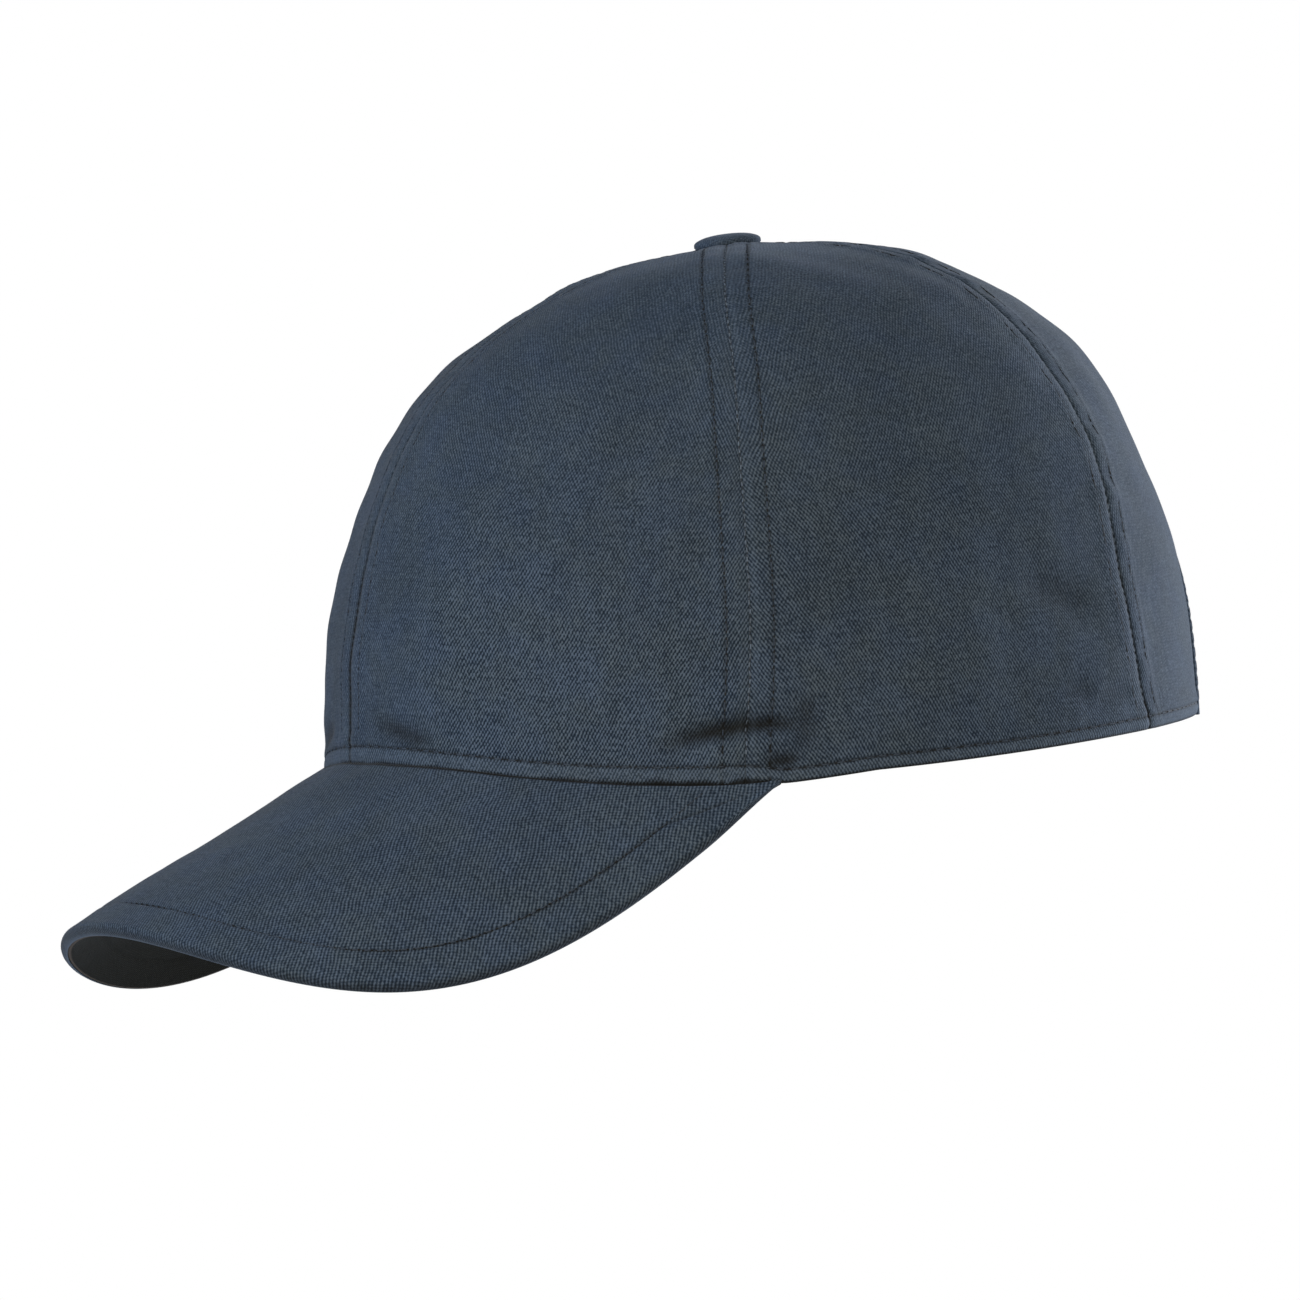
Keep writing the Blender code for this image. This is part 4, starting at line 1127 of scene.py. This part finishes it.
def visor_outline(share):
    """(s, v) of the visor's edge, from its middle at 0 to its corner at 1."""
    corner = on_visor(VISOR_CORNER, 0)
    side = np.array([math.cos(VISOR_SIDE_ANGLE), math.sin(VISOR_SIDE_ANGLE)])
    points = (
        np.array([0, VISOR_LENGTH]),
        np.array([VISOR_FRONT_HANDLE, VISOR_LENGTH]),
        corner + VISOR_SIDE_HANDLE * side,
        corner,
    )
    share = np.asarray(share)[..., None]
    return sum(weight * point for weight, point in zip(bezier_weights(share), points))


def visor_frame(shares):
    """For each column from the right corner to the left: its root, its edge and the way in from the edge."""
    size = np.abs(shares)
    flip = np.stack([np.where(shares < 0, -1.0, 1.0), np.ones(len(shares))], -1)
    edge = visor_outline(size)
    step = 1e-4
    along = unit(visor_outline(np.minimum(size + step, 1)) - visor_outline(np.maximum(size - step, -1)))
    inward = np.stack([along[:, 1], -along[:, 0]], -1)
    return edge * flip, inward * flip, flip


VISOR_LIMIT = 1 - VISOR_BLUNT / (2 * VISOR_LENGTH)
VISOR_SHARES = np.sin(np.linspace(-1, 1, 241) * math.radians(78)) / math.sin(math.radians(78)) * VISOR_LIMIT
VISOR_RADIUS = VISOR_THICKNESS / 2
BOARD_DEPTH = (-1.1 * MM, -2.4 * MM)
FLANGE_DEPTH = (-1.6 * MM, -1.9 * MM)
TOP_CLOTH = 0.55 * MM
ROLL_TURNS = np.radians([140, 120, 100, 80, 62, 46, 32, 18, 6])
# Painted shade round the visor's rolled edge, from where it turns under up to the top.
ROLL_PAINTED_SHADE = np.array([0.5, 0.6, 0.6, 0.55, 0.45, 0.3, 0.15, 0.05, 0.0])
EDGE_MARKS = np.array(
    [2.1, 2.7, 3.5, 4.5, 5.5, 6.5, 7.4, 8.1, 8.6, 9, 9.3, 9.5, 9.8, 10.2, 10.8, 11.6, 12.5]
) * MM
EDGE_END = EDGE_MARKS[-1]


def visor_grid(offset_of, stations):
    """Points of a visor surface, each point's place on it in mm, and its distance in from the edge.

    A station is its distance in from the edge, its share of the way from there to the root, and its depth.
    """
    edge, inward, flip = visor_frame(VISOR_SHARES)
    points, uvs, aways = [], [], []
    for away, share, depth in stations:
        theta = np.abs(VISOR_SHARES) * VISOR_CORNER
        length = np.linalg.norm(on_visor(theta, 0) * flip - edge, axis=-1)
        tight = np.clip(length / (18 * MM), 0.04, 1)
        thin = VISOR_CORNER_THICKNESS + (1 - VISOR_CORNER_THICKNESS) * smooth(length, 2 * MM, 16 * MM)
        slant = VISOR_ROOT_SLANT * depth * smooth(length, 2 * MM, 10 * MM)
        root = on_visor(theta, -VISOR_ROOT_GAP * smooth(length, 1 * MM, 4 * MM) + slant) * flip
        start = edge + inward * (away * tight)[:, None]
        place = start + (root - start) * share
        points.append(visor_point(place[:, 0], place[:, 1], depth * thin + offset_of(place, away, share)))
        uvs.append(place / MM)
        aways.append(np.full(len(edge), away + 1e3 * MM * (share > 0)))
    return np.array(points), np.array(uvs), np.array(aways)


def level(place, away, share):
    return 0 * place[:, 0]


def flat_ripple(place, size, seed):
    points = np.stack([place[:, 0], place[:, 1], 0 * place[:, 0]], -1)
    return ripple(points, size, seed)


def top_stations():
    """Stations round the rolled edge, in over the stitching and on to the root."""
    radius = VISOR_RADIUS
    roll = [(radius - radius * math.sin(turn), 0.0, -radius + radius * math.cos(turn)) for turn in ROLL_TURNS]
    flat = [(away, 0.0, 0.0) for away in EDGE_MARKS]
    shares = (*np.linspace(0, 0.95, 52)[1:], *np.linspace(0.955, 0.985, 9), 0.99, 0.994, 0.997, 1.0)
    return roll + flat + [(EDGE_END, share, 0.0) for share in shares]


def top_inner_station(away, share, depth):
    """The same station on the inner face of the top cloth."""
    past_roll = share or away > VISOR_RADIUS
    return max(away, 0.7 * MM), share, min(depth, 0) - TOP_CLOTH if past_roll else -VISOR_RADIUS


def towards_sides():
    return 0.5 + 0.5 * smooth(np.abs(VISOR_SHARES), 0.55, 0.9)


def top_relief(place, away, share):
    """Waves in the top cloth, the groove of its stitching, and its dip where it goes in under the hem."""
    groove = bell(away, VISOR_ROW, 0.5 * MM) * towards_sides() if share == 0 else 0.0
    uneven = 0.16 * MM * flat_ripple(place, 34 * MM, 71) + 0.05 * MM * flat_ripple(place, 11 * MM, 72)
    steady = float(smooth(np.array(away), 1.5 * MM, 8 * MM)) if share == 0 else 1.0
    away_from_corners = 1 - smooth(np.abs(VISOR_SHARES), 0.82, 0.95)
    dip = -1.0 * MM * float(smooth(np.array(share), 0.976, 0.998)) * away_from_corners
    return uneven * steady - 0.28 * MM * groove + dip


def make_visor_top():
    stations = top_stations()
    outer, uv, away = visor_grid(top_relief, stations)
    edge, inward, _ = visor_frame(VISOR_SHARES)
    for row, turn in enumerate(ROLL_TURNS):
        uv[row] = (edge + inward * VISOR_RADIUS * (1 - turn)) / MM
    inner, _, _ = visor_grid(level, [top_inner_station(*station) for station in stations])
    shares = np.array([share for _, share, _ in stations])
    # Painted shade in the stitch groove, at the root where the cloth goes in under the hem, and round the
    # rolled edge.
    painted_shade = 0.35 * towards_sides() * bell(away, VISOR_ROW, 0.45 * MM)
    painted_shade = np.maximum(painted_shade, smooth(shares, 0.957, 0.97)[:, None])
    painted_shade[: len(ROLL_PAINTED_SHADE)] = ROLL_PAINTED_SHADE[:, None]
    fields = even_cloth(away.shape, lean=0.72, crisp=0.9) | {"painted_shade": painted_shade}
    fields["worn"][:2] = np.array([0.8, 0.3])[:, None]
    fields = {key: value[::-1] for key, value in fields.items()}
    made = closed_sheet("visor_top_cloth", outer[::-1], inner[::-1], MATERIALS["visor"], uv[::-1], fields)
    finish_piece(made, "visor_cloth", "visor_top_cover")


def make_visor_stitches():
    """The row along the visor's edge, as far as the hem at both ends."""
    edge, inward, _ = visor_frame(np.linspace(-VISOR_LIMIT, VISOR_LIMIT, 700))
    place = edge + inward * VISOR_ROW
    root = on_visor(np.linspace(0, VISOR_CORNER, 200), 0)
    place = place[place[:, 1] > np.interp(np.abs(place[:, 0]), root[:, 0], root[:, 1]) + 1.5 * MM]
    points = visor_point(place[:, 0], place[:, 1], -0.06 * MM)
    outward = unit(visor_point(place[:, 0], place[:, 1], 1 * MM) - points)
    sizes = {"pitch": 2.6 * MM, "length": 1.9 * MM, "seed": 73}
    row = stitches("topstitch_visor", points, outward, MATERIALS["thread"], **sizes)
    finish_piece(row, "visor_cloth")


def make_visor_flange():
    """The visor's seam allowance, which turns up behind the hem."""
    end = VISOR_CORNER - 0.005
    theta = np.linspace(-end, end, 160)
    climb = np.linspace(-1.6, 6, 12) * MM
    grid_climb, grid_theta = np.meshgrid(climb, theta, indexing="ij")
    t = t_of(grid_theta, np.maximum(grid_climb, 0))
    below = np.minimum(grid_climb, 0) * smooth(VISOR_CORNER - np.abs(grid_theta), 0, 0.038)
    sheets = []
    for depth in FLANGE_DEPTH:
        points = lining_point(grid_theta, t, np.maximum(grid_climb, 3 * MM), filled(t, depth))
        points[..., 2] += below
        sheets.append(points)
    uv = np.stack([grid_theta * HEAD_HALF_WIDTH, grid_climb], -1) / MM
    # The whole allowance is painted in shade, as it lies behind the hem.
    fields = even_cloth(t.shape, painted_shade=0.8)
    made = closed_sheet("visor_flange_cloth", sheets[0], sheets[1], MATERIALS["visor"], uv, fields)
    finish_piece(made, "visor_cloth")


def make_visor_board():
    top, bottom = BOARD_DEPTH
    stations = [(away * MM, 0.0, top) for away in (1.35, 1.6, 2.2, 4, 7, 12.5)]
    stations += [(EDGE_END, share, top) for share in np.linspace(0, 0.985, 30)[1:]]
    outer, uv, _ = visor_grid(level, stations)
    inner, _, _ = visor_grid(level, [(away, share, bottom) for away, share, _ in stations])
    made = closed_sheet("visor_board_sheet", outer[::-1], inner[::-1], MATERIALS["board"], uv)
    finish_piece(made, "visor_board", "visor_board")


def under_sag(place, away, share):
    """Waves in the under cloth, and the groove of the stitching."""
    groove = 0.25 * MM * bell(away, VISOR_ROW, 0.5 * MM) if share == 0 else 0.0
    return 0.07 * MM * flat_ripple(place, 28 * MM, 77) * min(1, away / EDGE_END) + groove


def make_visor_underside():
    top, bottom = -2.75 * MM, -VISOR_THICKNESS - 0.05 * MM
    stations = [(0.85 * MM, 0.0, -2.4 * MM), (0.8 * MM, 0.0, -2.9 * MM), (1.0 * MM, 0.0, -3.3 * MM)]
    stations += [(away * MM, 0.0, bottom) for away in (1.4, 2, 3, 4.5, 6, 8, 8.8, 9.5, 10.2, 11, 12.5)]
    stations += [(EDGE_END, share, bottom) for share in np.linspace(0, 0.995, 48)[1:]]
    above = [(max(away, 1.4 * MM), share, max(depth + 0.5 * MM, top)) for away, share, depth in stations]
    outer, uv, away = visor_grid(under_sag, stations)
    inner, _, _ = visor_grid(level, above)
    worn = 0.9 * bell(away, 0.9 * MM, 0.22 * MM)
    fields = even_cloth(away.shape, crisp=0.6) | {"worn": worn}
    made = closed_sheet("visor_under_cloth", outer, inner, MATERIALS["underside"], uv, fields)
    finish_piece(made, "lining_cloth", "visor_under_cover")


# ---------------------------------------------------------------- the button
def apex_matrix():
    """The button's place: midway over the crown's top, square to it."""
    front, rear = (crown(theta, near_apex(theta, BUTTON_RADIUS, T_STEPS)) for theta in (0.0, BACK))
    along = Vector(rear - front).normalized()
    rotation = Vector((1, 0, 0)).cross(along).to_track_quat("Z", "Y")
    return Matrix.Translation(Vector((front + rear) / 2)) @ rotation.to_matrix().to_4x4()


def button_profile():
    """(radius, height) pairs from the foot of the cover to its top."""
    profile = [
        (BUTTON_RADIUS - 0.9 * MM, BUTTON_FOOT - 0.1 * MM),
        (BUTTON_RADIUS - 0.35 * MM, BUTTON_FOOT),
        (BUTTON_RADIUS, BUTTON_FOOT + 0.45 * MM),
    ]
    for angle in np.linspace(0, math.pi / 2, 22):
        height = BUTTON_RIM + (BUTTON_HEIGHT - BUTTON_RIM) * math.sin(angle)
        profile.append((BUTTON_RADIUS * math.cos(angle) ** 0.9, height))
    return profile


def button_grid(shrink):
    """The cover about its own axis, drawn in by shrink. The outer face is gathered at the rim."""
    turns = np.linspace(0, 2 * math.pi, 97)
    gathers = np.sin(11 * turns + 0.6) + 0.6 * np.sin(17 * turns)
    grid = []
    for radius, height in button_profile():
        low = 1 - smooth(np.array(radius), 0.0, BUTTON_RADIUS * 0.95)
        gather = 0.05 * MM * (1 - low) * gathers if shrink == 0 else 0
        reach = max(radius - shrink, 0.0002 * MM) + gather * (radius > 2 * MM)
        up = 0 * turns + height - shrink * (height > BUTTON_RIM)
        grid.append(np.stack([reach * np.cos(turns), reach * np.sin(turns), up], -1))
    return np.array(grid)


def make_button():
    outer, inner = button_grid(0.0), button_grid(BUTTON_CLOTH)
    reach = np.linalg.norm(outer[..., :2], axis=-1, keepdims=True)
    climbed = outer[-1, 0, 2] - outer[..., 2:]
    uv = outer[..., :2] * (1 + climbed / np.maximum(reach, 1 * MM)) / MM
    placed = np.array(apex_matrix())
    outer, inner = (grid @ placed[:3, :3].T + placed[:3, 3] for grid in (outer, inner))
    fields = even_cloth(uv.shape[:2], worn=0.1, crisp=0.5)
    made = closed_sheet("button_cover_cloth", outer, inner, MATERIALS["crown"], uv, fields)
    finish_piece(made, "crown_cloth", "button_cover")


# ---------------------------------------------------------------- the strap and the tab
def back_angles():
    """Distance round the back from its middle at each of a row of angles, at the strap's height."""
    theta = np.linspace(0, math.radians(70), 400)
    t = np.array([t_at_height(BACK - a, STRAP_BOTTOM + STRAP_WIDTH / 2) for a in theta])
    middle = crown(BACK - theta, t) + sum(STRAP_DEPTH) / 2 * crown_axes(BACK - theta, t)[2]
    steps = np.linalg.norm(np.diff(middle, axis=0), axis=-1)
    return np.concatenate([[0], np.cumsum(steps)]), theta


def t_at_height(theta, height):
    t = np.linspace(0, 0.8, 240)
    return float(np.interp(height, crown(theta, t)[:, 2], t))


def strap(name, node, ends, depth, trim, rows, seed):
    """A band round the back between two distances from its middle, with stitch rows in from its edges."""
    runs, angles = back_angles()
    width = STRAP_WIDTH - 2 * trim
    thickness = depth[0] - depth[1]
    section = fill_sides(rounded_section(width, thickness, 0.45 * thickness, 3), 1 * MM)
    across, out = section[:, 0], section[:, 1]
    edge = width / 2 - rows
    groove = bell(np.abs(across), edge, 0.6 * MM)
    puff = 0.10 * MM * np.cos(math.pi * across / width)
    offset = np.mean(depth) + out - np.sign(out) * (0.16 * MM * groove - puff * 0.5)
    loops, uvs = [], []
    for distance in np.linspace(*ends, int((ends[1] - ends[0]) / (1 * MM))):
        theta = BACK - math.copysign(float(np.interp(abs(distance), runs, angles)), distance)
        t = np.array([t_at_height(theta, height) for height in STRAP_BOTTOM + STRAP_WIDTH / 2 + across])
        loops.append(crown(theta, t) + offset[:, None] * crown_axes(filled(t, theta), t)[2])
        uvs.append(np.stack([across + 0.7 * out, filled(across, distance)], -1) / MM)
    loops, uvs = np.array(loops), np.array(uvs)
    # Painted shade in the grooves of the stitch rows.
    groove_painted_shade = np.broadcast_to(0.25 * groove, loops.shape[:2])
    fields = even_cloth(groove_painted_shade.shape, worn=0.05, crisp=0.8) | {"painted_shade": groove_painted_shade}
    made = tube(name, loops, MATERIALS["crown"], uvs, fields)
    finish_piece(made, "crown_cloth", node)
    for number, (sign, side) in enumerate(((1, 1), (-1, 1), (1, -1), (-1, -1))):
        from_row = np.abs(across - sign * edge)
        path = loops[:, int(np.argmin(from_row + 10 * (np.sign(out) != side)))]
        other = loops[:, int(np.argmin(from_row + 10 * (np.sign(out) == side)))]
        outward = unit(path - other)[1:-1]
        stitched = f"{name}_stitch_{number}"
        row = stitches(stitched, path[1:-1], outward, MATERIALS["thread"], seed=seed + number)
        finish_piece(row, "crown_cloth")


def make_straps():
    strap("adjuster_strap_cloth", "adjuster_strap", STRAP_ENDS, STRAP_DEPTH, 0.0, 2.2 * MM, 80)
    strap("clasp_tab_cloth", "clasp_tab", TAB_ENDS, TAB_DEPTH, 1 * MM, 2.0 * MM, 90)


# ---------------------------------------------------------------- carried-over CAD pieces
def dress_cad():
    finishes = {
        "button_shell": "steel",
        "button_post": "steel",
        "button_tack": "steel",
        "clasp_frame": "brass",
        "clasp_lever": "brass",
        "clasp_pin": "steel",
    }
    for node, finish in finishes.items():
        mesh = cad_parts[node].data
        mesh.materials.clear()
        mesh.materials.append(MATERIALS[finish])


# ---------------------------------------------------------------- studio and camera
VIEW_AZIMUTH = math.radians(63.46)
VIEW_ELEVATION = math.radians(0.637)
VIEW_ROLL = math.radians(4.196)
VIEW_DISTANCE = 1.5
VIEW_LENS = 182.8
VIEW_AIM = (-0.0244, 0.0321)
FLOOR_HEIGHT = -0.185
FLOOR_RADIUS = 0.62
# Direction (right, up, towards the viewer), distance, size, power and colour.
SOFTBOXES = {
    "softbox_rear": ((0.80, 0.05, -0.62), 1.4, 0.9, 19, (0.96, 1.0, 1.08)),
    "softbox_right": ((1.0, 0.45, 0.10), 1.4, 1.0, 5, (0.8, 1.0, 1.3)),
    "softbox_left": ((-1.0, 0.30, 0.45), 1.4, 1.0, 9.0, (0.78, 1.0, 1.34)),
    "softbox_top": ((0.0, 1.0, 0.15), 1.4, 1.0, 0.9, (0.85, 1.0, 1.25)),
    "softbox_front": ((-0.1, 0.25, 1.0), 1.6, 1.2, 11, (1.18, 1.0, 0.73)),
}
SOFTBOX_AIM = (0, -0.02, 0.05)
WORLD_FILL = 0.01


def view_axes():
    a, e = VIEW_AZIMUTH, VIEW_ELEVATION
    back = Vector((math.sin(a) * math.cos(e), -math.cos(a) * math.cos(e), math.sin(e)))
    right = Vector((math.cos(a), math.sin(a), 0))
    return back, right, back.cross(right)


def make_camera():
    back, right, up = view_axes()
    data = bpy.data.cameras.new("camera")
    data.lens = VIEW_LENS
    data.sensor_width = 36
    data.clip_start = 0.05
    data.clip_end = 20
    made = add_object("camera", data)
    made.location = back * VIEW_DISTANCE
    aim = right * VIEW_AIM[0] + up * VIEW_AIM[1]
    away = (made.location - aim).normalized()
    across = up.cross(away).normalized()
    level = away.cross(across)
    tilted_up = level * math.cos(VIEW_ROLL) + across * math.sin(VIEW_ROLL)
    tilted_across = across * math.cos(VIEW_ROLL) - level * math.sin(VIEW_ROLL)
    rotation = Matrix((tilted_across, tilted_up, away)).transposed()
    made.matrix_world = Matrix.Translation(made.location) @ rotation.to_4x4()
    bpy.context.scene.camera = made


def softbox(name, toward, distance, size, power, colour=(1, 1, 1)):
    """A square soft light facing the cap from a direction in the view."""
    back, right, up = view_axes()
    data = bpy.data.lights.new(name, "AREA")
    data.size = size
    data.energy = power
    data.color = colour
    made = add_object(name, data)
    direction = (right * toward[0] + up * toward[1] + back * toward[2]).normalized()
    facing = direction.to_track_quat("Z", "Y").to_matrix().to_4x4()
    made.matrix_world = Matrix.Translation(Vector(SOFTBOX_AIM) + direction * distance) @ facing
    made.visible_camera = False


def make_studio():
    scene = bpy.context.scene
    scene.view_settings.view_transform = "Standard"
    world = bpy.data.worlds.new("studio")
    scene.world = world
    world.use_nodes = True
    tree = world.node_tree
    fill = tree.nodes["Background"]
    fill.inputs[0].default_value = (1.0, 1.0, 1.0, 1)
    fill.inputs[1].default_value = WORLD_FILL
    white = tree.nodes.new("ShaderNodeBackground")
    white.inputs[0].default_value = (1, 1, 1, 1)
    white.inputs[1].default_value = 1.0
    path = tree.nodes.new("ShaderNodeLightPath")
    choice = tree.nodes.new("ShaderNodeMixShader")
    tree.links.new(path.outputs["Is Camera Ray"], choice.inputs[0])
    tree.links.new(fill.outputs[0], choice.inputs[1])
    tree.links.new(white.outputs[0], choice.inputs[2])
    tree.links.new(choice.outputs[0], tree.nodes["World Output"].inputs[0])
    for name, facts in SOFTBOXES.items():
        softbox(name, *facts)
    make_floor()


def make_floor():
    g = Graph("pale_floor")
    place = g.place()
    pale = g.ramp(g.noise(place, 3, 2), (0.3, (0.80, 0.80, 0.80)), (0.7, (0.84, 0.84, 0.84)))
    g.set(Base_Color=pale, Roughness=0.8)
    away = g.tree.nodes.new("ShaderNodeVectorMath")
    away.operation = "LENGTH"
    g.tree.links.new(place, away.inputs[0])
    fade = g.ramp(g.math("DIVIDE", away.outputs["Value"], FLOOR_RADIUS), (0.55, (1, 1, 1)), (0.98, (0, 0, 0)))
    beneath = g.tree.nodes.new("ShaderNodeNewGeometry").outputs["Backfacing"]
    g.put(g.times(fade, g.math("SUBTRACT", 1.0, beneath)), g.shader.inputs["Alpha"])
    seen = g.tree.nodes.new("ShaderNodeLightPath").outputs["Is Camera Ray"]
    g.set(Emission_Color=(1.0, 0.96, 0.9), Emission_Strength=g.times(seen, 0.38))
    turns = np.linspace(0, 2 * math.pi, 96, endpoint=False)
    points = np.stack([FLOOR_RADIUS * np.cos(turns), FLOOR_RADIUS * np.sin(turns), 0 * turns], -1)
    floor = build("floor", points, [list(range(96))], g.material)
    floor.location = (0, 0, FLOOR_HEIGHT)


make_panels()
make_seam_stitches()
make_hem_stitches()
make_binding()
make_sweatband()
make_buckrams()
make_tapes()
make_visor_top()
make_visor_stitches()
make_visor_flange()
make_visor_board()
make_visor_underside()
make_button()
make_straps()
dress_cad()
make_camera()
make_studio()

bpy.context.view_layer.update()
